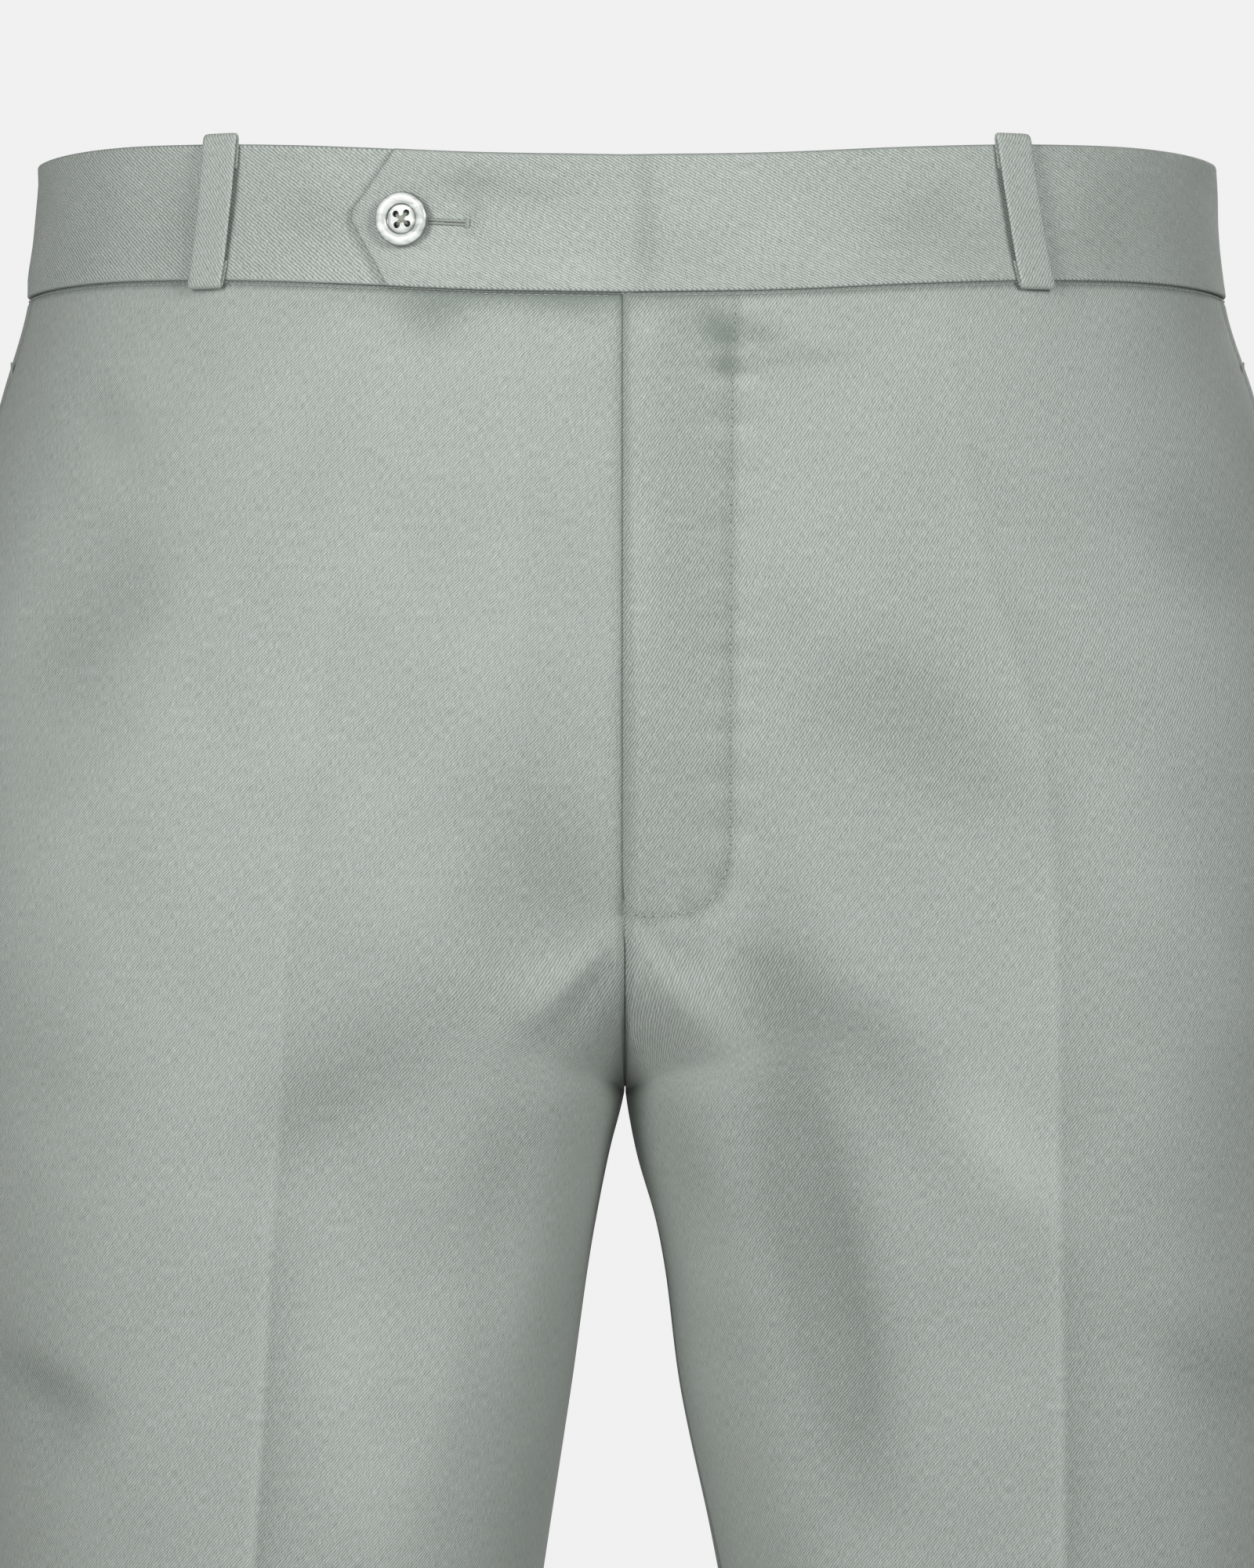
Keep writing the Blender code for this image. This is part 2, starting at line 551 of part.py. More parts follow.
def sheet(name, outer, inner, colour, roughness=0.85, metallic=0.0):
    """One closed object from two like grids of points, its outer and its inner face."""
    rows, columns = outer.shape[:2]
    mesh = bmesh.new()
    faces = [[[mesh.verts.new(point) for point in row] for row in layer] for layer in (outer, inner)]
    for row in range(rows - 1):
        for column in range(columns - 1):
            for layer, turn in ((0, 1), (1, -1)):
                grid = faces[layer]
                square = (grid[row][column], grid[row + 1][column], grid[row + 1][column + 1], grid[row][column + 1])
                mesh.faces.new(square[::turn])
    rim = [(0, column) for column in range(columns)]
    rim += [(row, columns - 1) for row in range(1, rows)]
    rim += [(rows - 1, column) for column in range(columns - 2, -1, -1)]
    rim += [(row, 0) for row in range(rows - 2, 0, -1)]
    for here, there in zip(rim, rim[1:] + rim[:1]):
        corners = [faces[layer][row][column] for layer, (row, column) in ((0, here), (0, there), (1, there), (1, here))]
        mesh.faces.new(corners)
    bmesh.ops.recalc_face_normals(mesh, faces=mesh.faces)
    bmesh.ops.triangulate(mesh, faces=mesh.faces, quad_method="SHORT_EDGE")
    return finish(name, mesh, colour, roughness, metallic)


def finish(name, mesh, colour, roughness=0.85, metallic=0.0):
    """The object of a finished mesh, with a material of its own."""
    data = bpy.data.meshes.new(name)
    mesh.to_mesh(data)
    mesh.free()
    material = bpy.data.materials.new(name)
    material.use_nodes = True
    shader = material.node_tree.nodes["Principled BSDF"]
    shader.inputs["Base Color"].default_value = (*colour, 1.0)
    shader.inputs["Roughness"].default_value = roughness
    shader.inputs["Metallic"].default_value = metallic
    data.materials.append(material)
    data.shade_smooth()
    data.set_sharp_from_angle(angle=SHARP)
    piece = bpy.data.objects.new(name, data)
    bpy.context.scene.collection.objects.link(piece)
    return piece


def make_panels(side, points, out, rows):
    """The front and the back of one side."""
    above = points[:, 0, 2] > CROTCH + 1e-6
    turned_up = ease((HEM + HEM_DEPTH - rows[:, 0]) / TURN_STEP)
    wall = mix(WALL, HEM_WALL, turned_up)[:, None, None]
    for face, columns in (("front", slice(0, SIDE_SEAM + 1)), ("back", slice(SIDE_SEAM, None))):
        outer = points[:, columns].copy()
        inner = outer - wall * out[:, columns]
        at_middle, next_middle = (0, 1) if face == "front" else (-1, -2)
        at_side, next_side = (-1, -2) if face == "front" else (0, 1)
        for layer in (outer, inner):
            trim_seam(layer, slice(None), at_side, next_side)
            trim_seam(layer, ~above, at_middle, next_middle)
            trim_middle(side, layer, above, at_middle, face == "front")
        sheet(f"{face}_{side_name(side)}", outer, inner, WOOL)


def make_facing(side, points, out, rows):
    """The strip inside the side seam that closes the pocket's slit."""
    kept = (rows[:, 0] < POCKET_TOP) & (rows[:, 0] > POCKET_BOTTOM)
    columns = slice(SIDE_SEAM - 1, SIDE_SEAM + 2)
    outer = (points - (WALL + SEAM_GAP) * out)[kept, columns]
    inner = (points - (WALL + SEAM_GAP + FACING_WALL) * out)[kept, columns]
    sheet(f"pocket_facing_{side_name(side)}", outer, inner, WOOL_DARK)


def band_outward(side, angle, height):
    """The level outward direction of the body's section."""
    first = np.stack(body_point(side, angle - SMALL_TURN, height), -1)
    last = np.stack(body_point(side, angle + SMALL_TURN, height), -1)
    way = last - first
    out = side * np.stack([way[..., 1], -way[..., 0]], -1)
    return out / np.linalg.norm(out, axis=-1, keepdims=True)


def band_point(side, angle, height, proud):
    """A point of the waistband's ring, proud of the body's surface. angle is never below 0."""
    flat = np.stack(body_point(side, angle, height), -1)
    flat = flat + np.asarray(proud)[..., None] * band_outward(side, angle, height)
    return np.concatenate([flat, np.broadcast_to(height, flat.shape[:-1])[..., None]], -1)


def angle_at(side, across, height):
    """The turn at which the front of the body's section lies this far across."""
    half = along(BODY, BODY_COLUMNS, f"half_{side_name(side)}", height)
    power = along(BODY, BODY_COLUMNS, "power", height)
    return np.arcsin(np.clip(across / half, 0, 1) ** (power / 2))


def angle_round(side, distance, height):
    """The turn at a distance round the band from the centre front."""
    angle = np.linspace(0.0, math.pi, ROUND_STEPS)
    points = np.stack(body_point(side, angle, np.full_like(angle, height)), -1)
    gone = np.append(0.0, np.cumsum(np.linalg.norm(np.diff(points, axis=0), axis=1)))
    return float(np.interp(distance, gone, angle))


def band_grid(side, angle, proud):
    """Rows from the band's top to its bottom, at these turns and this far out."""
    rows = []
    for part in BAND_ROWS:
        height = band_rise(angle) - part * BAND_DEPTH
        rows.append(band_point(side, angle, height, proud))
    return np.array(rows)


def make_band_right():
    """From the centre back to the centre front, pressed in where the tab covers it."""
    back = math.pi - np.linspace(0.0, 1.0, BAND_SPANS) * (math.pi - angle_at(RIGHT, UNDER_END, 0.0))
    front = angle_at(RIGHT, np.linspace(UNDER_START, BAND_END, UNDER_COLUMNS), 0.0)
    angle = np.concatenate([back, front])
    proud = np.where(np.arange(len(angle)) < len(back), BAND_PROUD, UNDER_TAB)
    outer = band_grid(RIGHT, angle, proud)
    inner = band_grid(RIGHT, angle, proud - BAND_WALL)
    for layer in (outer, inner):
        layer[:, 0, 0] = -HALF_GAP
    sheet("waistband_right", outer, inner, WOOL)


def make_band_left():
    """From the centre back round to the centre front, and on over the right band to the tab's point."""
    angle = np.linspace(math.pi, angle_at(LEFT, BEND_WIDTH, 0.0), BAND_SPANS)
    bend = angle_at(LEFT, np.array(BEND_COLUMNS), 0.0)
    angle = np.concatenate([angle, bend])
    near = 1 - ease(np.abs(body_point(LEFT, angle, np.zeros_like(angle))[0]) / BEND_WIDTH)
    near = np.where(angle < math.pi / 2, near, 0.0)
    proud = mix(BAND_PROUD, TAB_PROUD, near)
    thick = np.where(np.arange(len(angle)) < len(angle) - 1, BAND_WALL + near * BEND_THICKER, TAB_WALL)
    outer = band_grid(LEFT, angle, proud)
    inner = band_grid(LEFT, angle, proud - thick)
    for layer in (outer, inner):
        layer[:, 0, 0] = HALF_GAP
    tab = [tab_grid(proud) for proud in (TAB_PROUD, TAB_PROUD - TAB_WALL)]
    sheet("waistband_left", np.concatenate([outer, tab[0]], 1), np.concatenate([inner, tab[1]], 1), WOOL)


def tab_grid(proud):
    """The tab over the right band, whose end runs out to a point half way down."""
    rows = []
    for part in BAND_ROWS:
        end = mix(TAB_SHOULDER, TAB_TIP, 1 - abs(2 * part - 1))
        across = np.array(TAB_COLUMNS) * end
        angle = angle_at(RIGHT, across, 0.0)
        height = band_rise(angle) - part * BAND_DEPTH
        rows.append(band_point(RIGHT, angle, height, np.full_like(angle, proud)))
    return np.array(rows)


def loop_path():
    """(out from the band's face, height, 1 where the height counts from the band's bottom) down a loop."""
    tucked = SEAM_GAP + LOOP_WALL / 2
    front = tucked + LOOP_WALL + 0.00035
    middle = (tucked + front) / 2
    top = LOOP_ABOVE - LOOP_WALL / 2
    foot = LOOP_WALL / 2 - LOOP_BELOW
    return (
        (tucked, -0.0070, 0),
        (tucked, top - 0.0016, 0),
        (tucked + 0.0002, top - 0.0007, 0),
        (middle, top, 0),
        (front - 0.0002, top - 0.0007, 0),
        (front, top - 0.0016, 0),
        (front + 0.0004, -0.0100, 0),
        (front + 0.0005, 0.0180, 1),
        (front + 0.0001, 0.0050, 1),
        (front, foot + 0.0016, 1),
        (front - 0.0002, foot + 0.0007, 1),
        (middle, foot, 1),
        (tucked + 0.0002, foot + 0.0007, 1),
        (tucked, foot + 0.0016, 1),
        (tucked, 0.0055, 1),
    )


def make_loop(name, side, distance, lean):
    """A strip folded under at its top and its foot, standing just clear of the band."""
    angle = angle_round(side, distance, -BAND_DEPTH / 2)
    rise = float(band_rise(angle))
    centre = np.array(angle)
    outward = band_outward(side, centre, np.array(rise - BAND_DEPTH / 2))
    sideways = np.array((-outward[1], outward[0]))
    sideways *= np.sign(sideways @ (side, 0.0)) or 1.0
    path = []
    for out, height, from_bottom in loop_path():
        path.append((out + BAND_PROUD, rise + height - BAND_DEPTH * from_bottom))
    path = np.array(path)
    way = np.gradient(path, axis=0)
    across = np.stack([way[:, 1], -way[:, 0]], -1)
    across *= -LOOP_WALL / 2 / np.linalg.norm(across, axis=1, keepdims=True)
    layers = []
    for line in (path + across, path - across):
        rows = []
        for out, height in line:
            foot = body_point(side, centre, np.array(min(height, rise)))
            slide = lean * (0.5 - (height - rise + BAND_DEPTH) / BAND_DEPTH)
            flat = np.array(foot) + out * outward + slide * sideways
            rows.append([(*(flat + edge * LOOP_WIDTH / 2 * sideways), height) for edge in (-1, 1)])
        layers.append(np.array(rows))
    sheet(name, layers[0], layers[1], WOOL)


def cylinder(name, radius, depth, steps, place):
    """A cutter along its own Z."""
    mesh = bmesh.new()
    bmesh.ops.create_cone(mesh, cap_ends=True, segments=steps, radius1=radius, radius2=radius, depth=depth)
    mesh.transform(Matrix.Translation(place))
    data = bpy.data.meshes.new(name)
    mesh.to_mesh(data)
    mesh.free()
    cutter = bpy.data.objects.new(name, data)
    bpy.context.scene.collection.objects.link(cutter)
    cutter.hide_render = True
    cutter.display_type = "WIRE"
    return cutter


def make_button():
    """A turned disc with a raised rim and four holes, held flat over the tab."""
    mesh = bmesh.new()
    ring = [mesh.verts.new((radius, 0.0, height)) for radius, height in BUTTON_PROFILE]
    edges = [mesh.edges.new(pair) for pair in zip(ring, ring[1:])]
    bmesh.ops.spin(mesh, geom=ring + edges, axis=(0, 0, 1), cent=(0, 0, 0), steps=BUTTON_STEPS, angle=2 * math.pi)
    bmesh.ops.remove_doubles(mesh, verts=mesh.verts, dist=MERGE)
    bmesh.ops.recalc_face_normals(mesh, faces=mesh.faces)
    button = finish("button", mesh, PEARL, 0.25)
    angle = angle_at(RIGHT, abs(BUTTON_ACROSS), 0.0)
    height = np.array(BUTTON_HEIGHT)
    place = Vector(band_point(RIGHT, angle, height, np.array(TAB_PROUD + BUTTON_LIFT)))
    out = Vector((*band_outward(RIGHT, angle, height), 0.0))
    button.matrix_world = Matrix.Translation(place) @ out.to_track_quat("Z", "Y").to_matrix().to_4x4()
    for index in range(4):
        turn = math.pi / 4 + index * math.pi / 2
        hole = Vector((HOLE_RING * math.cos(turn), HOLE_RING * math.sin(turn), 0.0))
        cutter = cylinder(f"cut_hole_{index}", HOLE_RADIUS, HOLE_DEPTH, HOLE_STEPS, hole)
        cutter.matrix_world = button.matrix_world
        cut = button.modifiers.new(f"hole_{index}", "BOOLEAN")
        cut.object = cutter
        cut.operation = "DIFFERENCE"
        cut.solver = "EXACT"


def front_point(across, height, proud):
    """A point this far out of the body's surface near the centre front."""
    side = LEFT if across >= 0 else RIGHT
    deep = body_point(side, angle_at(side, abs(across), height), height)[1]
    return across, deep - proud, height


def make_strip(name, profile, heights, colour):
    """A strip behind the fly with the same profile at each height."""
    layers = []
    for face in (1, 2):
        layers.append(np.array([[front_point(row[0], height, row[face]) for row in profile] for height in heights]))
    return sheet(name, layers[0], layers[1], colour)


def make_slider():
    layers = []
    for face in (2, 3):
        rows = []
        for row in SLIDER:
            rows.append([front_point(SLIDER_MIDDLE + edge * row[1], row[0], row[face]) for edge in (-1, 1)])
        layers.append(np.array(rows))
    sheet("zip_slider", layers[0], layers[1], METAL, 0.35, 1.0)


def make_fly():
    heights = np.linspace(STRIP_TOP, STRIP_BOTTOM, STRIP_ROWS)
    make_strip("zip", ZIP, heights, PLASTIC)
    make_strip("fly_underlap", UNDERLAP, heights, WOOL_DARK)
    make_slider()


def clear_scene():
    for thing in list(bpy.data.objects):
        bpy.data.objects.remove(thing, do_unlink=True)


def main():
    clear_scene()
    rows = levels()
    run = runs()
    for side in SIDES.values():
        points, out = side_surface(side, rows, run)
        make_panels(side, points, out, rows)
        make_facing(side, points, out, rows)
    make_band_right()
    make_band_left()
    for loop in LOOPS:
        make_loop(*loop)
    make_fly()
    make_button()


main()
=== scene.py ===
"""Dress trousers, filled out with no wearer: cloth, stitching, button, zip, light and camera.

Metres, +Z up; a table whose rows are in millimetres says so. The front faces -Y and the wearer's
left is at +X. The origin is the middle of the waist opening. Each side is one surface over levels
and runs: run 0 is the centre front or the inseam, 1 the front crease, 2 the side seam, 3 the back
crease, and 4 the centre back or the inseam again.
"""

import math

import bmesh
import bpy
import numpy as np
from mathutils import Matrix, Vector
from mathutils.bvhtree import BVHTree


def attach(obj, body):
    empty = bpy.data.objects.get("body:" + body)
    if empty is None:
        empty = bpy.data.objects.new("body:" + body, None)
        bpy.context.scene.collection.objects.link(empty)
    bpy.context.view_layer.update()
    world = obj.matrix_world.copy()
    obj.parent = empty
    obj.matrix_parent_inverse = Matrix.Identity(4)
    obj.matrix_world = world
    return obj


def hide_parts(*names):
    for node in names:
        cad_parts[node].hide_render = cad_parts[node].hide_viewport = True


RIGHT = -1
LEFT = 1
NAMES = {RIGHT: "right", LEFT: "left"}

# Cloth and levels
WALL = 0.0012
HEM_WALL = 0.0024
HEM_DEPTH = 0.038
HALF_GAP = 0.00015
STRIP_WALL = 0.0006
STRIP_GAP = 0.0004
FACING_WALL = 0.0010
TURNING_SPANS = 3
INNER_TURNING_SPANS = 5
POCKET_TOP = -0.052
POCKET_BOTTOM = -0.222
BAND_DEPTH = 0.0385
FORK_TOP = -0.170
FORK_DEPTH = 0.094
CROTCH = FORK_TOP - FORK_DEPTH
JUST_ABOVE_CROTCH = CROTCH + 1e-6
FRONT_FORK_START = 0.49
FRONT_FORK_DEPTH = 0.048
PARTING_TOP = -0.120
PARTING_BOTTOM = -0.310
SEAT_REACH = 0.70
FLY_BOTTOM = -0.212
PANEL_TOP = -0.0388
KNEE = -0.45
HEM = -1.062
HEM_TURN = HEM + HEM_DEPTH
HEM_SLANT = 0.010
SLANT_TOP = -0.900
SLANT_DEPTH = 0.150
TURN_STEP = 0.001
FLATTEST = 0.99999
LEG_POWER = 2.06
QUARTER_SPANS = (58, 44, 44, 44)


def table(names, rows, plain=""):
    """Columns by name, rows going up, in metres from millimetres. Those in plain aren't lengths."""
    columns = zip(names.split(), np.array(sorted(rows), float).T)
    return {name: line if name in plain.split() else line / 1000 for name, line in columns}


# The body's section: how far it reaches each way, and how square it is.
BODY = table(
    "height half_right half_left front back power",
    (
        (12, 170, 171.2, 120, 120, 2.05),
        (-12, 171.2, 172.4, 120.8, 121.2, 2.05),
        (-38, 174.2, 175.2, 122, 124.5, 2.08),
        (-62, 181.2, 182.8, 123.3, 130, 2.12),
        (-95, 191, 191.5, 124.4, 138.5, 2.2),
        (-130, 197.5, 198.5, 125, 145, 2.32),
        (-170, 201.5, 203.5, 124.2, 148, 2.5),
        (-215, 202.5, 205, 121.5, 145, 2.75),
        (-270, 200.5, 204.5, 119, 134, 2.85),
    ),
    "power",
)
# Each leg's section. The first four widths are distances from the middle plane.
LEG_COLUMNS = "height inner crease back_crease outer front back middle inseam_ahead"
LEG_POWERS = "inner_power seat_power"
LEG_ROWS = {
    RIGHT: (
        (-170, 0, 88, 100, 201.5, 124.2, 145, -6, 0, 4.6, 3.2),
        (-225, 0, 95, 100, 202.2, 120.6, 139, -10, 0, 4.2, 3.2),
        (-264, 0.2, 97, 101, 200.8, 115.5, 129, -12, 0, 3.7, 3),
        (-280, 4.2, 98, 101.5, 199.8, 114.5, 125, -11, 3, 3.5, 2.8),
        (-302, 8.6, 99.5, 102.5, 198, 112.7, 120, -10, 6, 3.3, 2.6),
        (-350, 15.6, 102, 105, 193.5, 109.5, 111.5, -8, 9, 3.05, 2.4),
        (-404, 23.8, 105.2, 108, 188.5, 104.5, 104.5, -6, 10, 2.85, 2.3),
        (-500, 36.8, 111.8, 114, 186.5, 95.5, 94.5, -4, 10, 2.6, 2.2),
        (-620, 50.5, 119.5, 121.5, 188.5, 86.2, 86, -2, 10, 2.4, 2.12),
        (-780, 64, 130, 131.5, 195.5, 76.5, 79.5, 0, 9, 2.2, 2.06),
        (-930, 76, 139.5, 140.5, 203, 68.5, 75, 3, 8, 2.1, 2.06),
        (-1075, 87, 148, 148.5, 209.5, 61, 71, 5, 8, 2.06, 2.06),
    ),
    LEFT: (
        (-170, 0, 115, 108, 203.5, 124.2, 145, -6, 0, 4.6, 3.2),
        (-225, 0, 119, 109, 205, 120.6, 139, -10, 0, 4.2, 3.2),
        (-264, 0.2, 119.5, 109, 204.2, 115.5, 129, -12, 0, 3.7, 3),
        (-280, 3, 119.8, 109, 204, 113.6, 125, -11, 8, 3.5, 2.8),
        (-302, 9.2, 120.4, 109, 203.5, 111, 119.5, -10, 18, 3.3, 2.6),
        (-350, 16, 121.5, 110, 201.8, 105.8, 110, -8, 26, 3.05, 2.4),
        (-404, 27.4, 122.2, 112, 201, 100.2, 101.5, -6, 27, 2.85, 2.3),
        (-500, 40, 125, 116, 198.5, 91.5, 92, -4, 24, 2.6, 2.2),
        (-620, 52, 130, 121, 197, 83, 85, -2, 21, 2.4, 2.12),
        (-780, 64, 137, 129, 199, 74.5, 79.5, 1, 18, 2.2, 2.06),
        (-930, 74, 144, 137, 203, 67, 75.2, 4, 16, 2.1, 2.06),
        (-1075, 83, 150, 144, 208, 60, 71.5, 6, 15, 2.06, 2.06),
    ),
}
LEGS = {
    side: table(f"{LEG_COLUMNS} {LEG_POWERS}", rows, LEG_POWERS) for side, rows in LEG_ROWS.items()
}
LINES = table(
    "height crease_right crease_left back_crease side_ahead",
    (
        (12, 64, 84, 78, 20), (-62, 71, 91, 85, 21), (-110, 79, 98.5, 92, 22),
        (-170, 88, 115, 100, 23), (-225, 95, 119, 100, 23), (-264, 97, 119.5, 101, 23),
        (-404, 105.2, 122.2, 108, 20), (-620, 119.5, 130, 121.5, 16),
        (-1075, 148, 150, 148.5, 12),
    ),
)
# How far the pressed creases stand out.
CREASES = table(
    "height front_right front_left back_right back_left",
    (
        (12, 0, 0, 0, 0), (-65, 0, 0.4, 0, 0), (-170, 0.4, 0.8, 0, 0), (-265, 1, 1.6, 0.8, 0.8),
        (-350, 2.4, 2.6, 2.2, 2), (-500, 3.8, 3.6, 3.6, 3.4), (-700, 5, 4.8, 4.8, 4.6),
        (-1075, 5.6, 5.4, 5.2, 5.2),
    ),
)
CREASE_REACH = 0.020
CREASE_STEEP = 0.0080
# The band's rise over the centre front at each turn, in degrees, round to the back.
BAND_RISE = table(
    "turn rise",
    ((0, 0), (14, 1), (26, 3), (36, 4.4), (52, 5.6), (90, 4.5), (135, 7.5), (180, 10)),
    "turn",
)

# Folds as ridges or, below zero, troughs along a line, in millimetres: across and height of its two
# ends, spread and rise.
LARGE_FOLDS = {
    ("front", LEFT): (
        (82, -262, 120, -300, 13, 3.2), (66, -250, 116, -305, 12, -2.6),
        (32, -190, 68, -370, 14, -3), (52, -140, 112, -182, 20, -2.2),
        (16, -218, 40, -262, 11, 1.8), (85, -610, 165, -640, 20, -2.2),
    ),
    ("front", RIGHT): (
        (-10, -218, -30, -242, 10, 1.8), (-5, -150, -30, -176, 14, -1.6),
        (-98, -276, -52, -246, 15, -2.2), (-22, -290, -60, -380, 15, 2),
        (-130, -100, -168, -160, 18, -1.6),
        (-75, -640, -155, -660, 20, -2),
    ),
    ("back", RIGHT): (
        (-12, -255, -90, -205, 16, -3.2), (-20, -300, -100, -262, 15, 3),
        (-60, -520, -150, -560, 18, -2.4),
    ),
    ("back", LEFT): (
        (12, -258, 96, -212, 17, -3), (24, -305, 92, -272, 14, 2.6),
        (70, -550, 165, -580, 19, -2.6),
    ),
}
# These keep off the fly's flat strip.
SMALL_FOLDS = {
    ("front", RIGHT): (
        (-12, -160, -42, -236, 16, -1.6), (-30, -262, -48, -380, 9, -1.2),
        (-82, -300, -70, -410, 14, 1.2), (-186, -335, -150, -352, 7, -1.8),
        (-2, -216, -26, -238, 5, 1), (-2, -222, -30, -252, 6, -1),
        (-155, -60, -140, -82, 8, -1),
        (-176, -340, -150, -366, 11, -1.4),
    ),
    ("front", LEFT): (
        (40, -262, 68, -375, 12, -2.2), (12, -300, 34, -400, 10, 1.2),
        (36, -225, 90, -262, 10, -1.2), (150, -330, 186, -352, 9, -1.4),
        (4, -217, 34, -252, 6, 0.9), (30, -46, 52, -56, 5, -0.6), (30, -56, 46, -60, 4, -0.5),
        (155, -90, 182, -120, 12, -1.2),
    ),
    ("back", LEFT): ((14, -240, 60, -200, 9, -1.4), (40, -330, 60, -450, 14, -1.8)),
    ("back", RIGHT): ((-14, -236, -55, -196, 9, -1.4), (-36, -320, -56, -430, 14, -1.8)),
}
# Narrow pulls that run out from the fly's end.
FORK_FOLDS = {
    ("front", RIGHT): ((-2, -216, -24, -237, 3, 1.3), (-2, -220, -20, -248, 3.6, -1)),
    ("front", LEFT): (
        (3, -215, 12, -225, 2.2, 0.9), (3, -220, 22, -242, 3.6, 1.2),
        (6, -215, 24, -228, 2.8, -0.8),
    ),
}
FORK_CLEAR = 0.05
FOLD_ENDS = 0.12
FOLD_CLEAR_SEAT = 0.35
FOLD_CLEAR_SIDE = 0.50
CALM_SEAM = 0.3
CALM_SIDE = 0.12

# Painted shade and painted light in soft ovals on the band and the front panels, in millimetres:
# across, height, half width, half height, and how much lighter, or below zero darker.
BAND_PAINTED_SHADING = (
    (-43, -7, 11, 4, -0.22), (-27, -11, 12, 4, -0.12), (6, -18, 3, 20, -0.16),
    (14, -26, 16, 8, -0.08), (-86, -16, 12, 8, -0.12), (-52, -30, 14, 5, 0.08),
    (-42, -17, 3, 7, -0.14), (-11, -33, 16, 4, 0.08), (80, -18, 15, 8, -0.08),
    (-126, -22, 10, 16, -0.10), (134, -22, 10, 16, -0.10),
)
PANEL_PAINTED_SHADING = (
    (-30, -40, 36, 3, -0.30), (-54, -44, 10, 7, -0.26), (-12, -42, 10, 5, -0.20),
    (28, -50.5, 4.2, 3.6, -0.42), (28.4, -59, 3.6, 3.2, -0.36), (37, -50, 5, 2.4, -0.20),
    (52, -56, 11, 2, -0.14), (24, -47, 4, 5, -0.20), (6, -48, 4, 6, 0.10),
    (4, -100, 5, 50, 0.10), (-15, -200, 13, 22, -0.16), (-3, -245, 5, 18, -0.12),
)
# Painted shade and painted highlights: on the creases, folds, fly, seams, puckers and under the
# band, and where the band's edges roll.
CREASE_PAINTED_SHADING = 0.34
CREASE_FULL = 0.0045
CREASE_FADE = 0.0075
CREASE_CLEAR = 0.0009
CREASE_EDGE = 0.0011
CREASE_LIGHT = 0.55
CREASE_FAR_SIDE = -0.10
FOLD_PAINTED_SHADING = 0.26
FOLD_FULL = 0.0030
FLY_PAINTED_SHADE = {LEFT: 0.13, RIGHT: 0.03}
FLY_EDGE_PAINTED_SHADOW = 0.7
FLY_EDGE_REACH = 0.0013
INNER_LEG_PAINTED_SHADE = 0.42
UNDER_BAND_PAINTED_SHADE = 0.30
UNDER_BAND_REACH = 0.0011
PUCKER_PAINTED_SHADING = 0.22
PUCKER_FULL = 0.0004
SEAM_PAINTED_SHADE = 0.30
BAND_EDGE_PAINTED_SHADE = 0.60

# The fly, and its stitched line in millimetres: across and height.
FLY_RISE = 0.00155
FLY_FLAT = 0.008
FLY_WIDTH = 0.036
FLY_LAP = 0.0050
FLY_EDGE = -0.0005
FLY_FADE = 0.013
FLY_LINE = (
    (31.1, -39.5), (30, -55.1), (29.5, -100), (29.4, -150), (29.4, -193), (28.6, -198.2),
    (26.5, -204.3), (22.8, -208.4), (18.7, -210.6), (12.8, -211.7), (5.6, -211.9), (0.8, -211),
)
STITCH = 0.0024
THREAD = 0.00016
# A stitch's bow out of the cloth: part of the way, and lift in threads.
STITCH_BOW = ((0.0, -0.9), (0.2, 0.5), (0.5, 0.8), (0.8, 0.5), (1.0, -0.9))

# The strip behind the fly, in millimetres: across, and how far its face lies behind the body's.
UNDERLAP = (
    (-14, 1.5), (-4, 1.9), (1, 2.7), (5, 3.2), (9, 4.6), (14, 4.6), (18, 3.8), (24, 3.2),
    (34, 3.4),
)
UNDERLAP_TOP = -0.0425
UNDERLAP_BOTTOM = -0.2060

# The waistband
BAND_PROUD = 0.0006
BAND_WALL = 0.0030
TAB_SHOULDER = 0.0640
TAB_TIP = 0.0765
TAB_PROUD = 0.0019
TAB_WALL = 0.0020
UNDER_TAB = -0.0004
UNDER_START = 0.0780
UNDER_END = 0.0850
BAND_END = 0.0010
BEND_WIDTH = 0.0300
BEND_THICKER = 0.0008
BEND_STEP = 0.00035
ROLL = 0.0009
BAND_SPANS = 150
BAND_TOP_PARTS = (0.0, 0.008, 0.02, 0.035)
BAND_BOTTOM_PARTS = (0.965, 0.98, 0.992, 1.0)
BAND_PARTS = np.concatenate([BAND_TOP_PARTS, np.linspace(0.06, 0.94, 12), BAND_BOTTOM_PARTS])

# Each loop's side, distance round the band from the centre front, and lean.
LOOPS = (
    ("loop_front_right", RIGHT, 0.1195, 0.0018),
    ("loop_front_left", LEFT, 0.1155, 0.0046),
    ("loop_back_right", RIGHT, 0.300, 0.0012),
    ("loop_back_left", LEFT, 0.300, 0.0012),
    ("loop_centre_back", LEFT, 0.466, 0.0),
)
LOOP_WIDTH = 0.0112
LOOP_WALL = 0.0011
LOOP_ABOVE = 0.0030
LOOP_BELOW = 0.0026
LOOP_LENGTH = 0.09
LOOP_STEPS = 90
LOOP_EDGES = np.array((-1, -0.97, -0.90, -0.78, -0.5, -0.2, 0.2, 0.5, 0.78, 0.90, 0.97, 1))

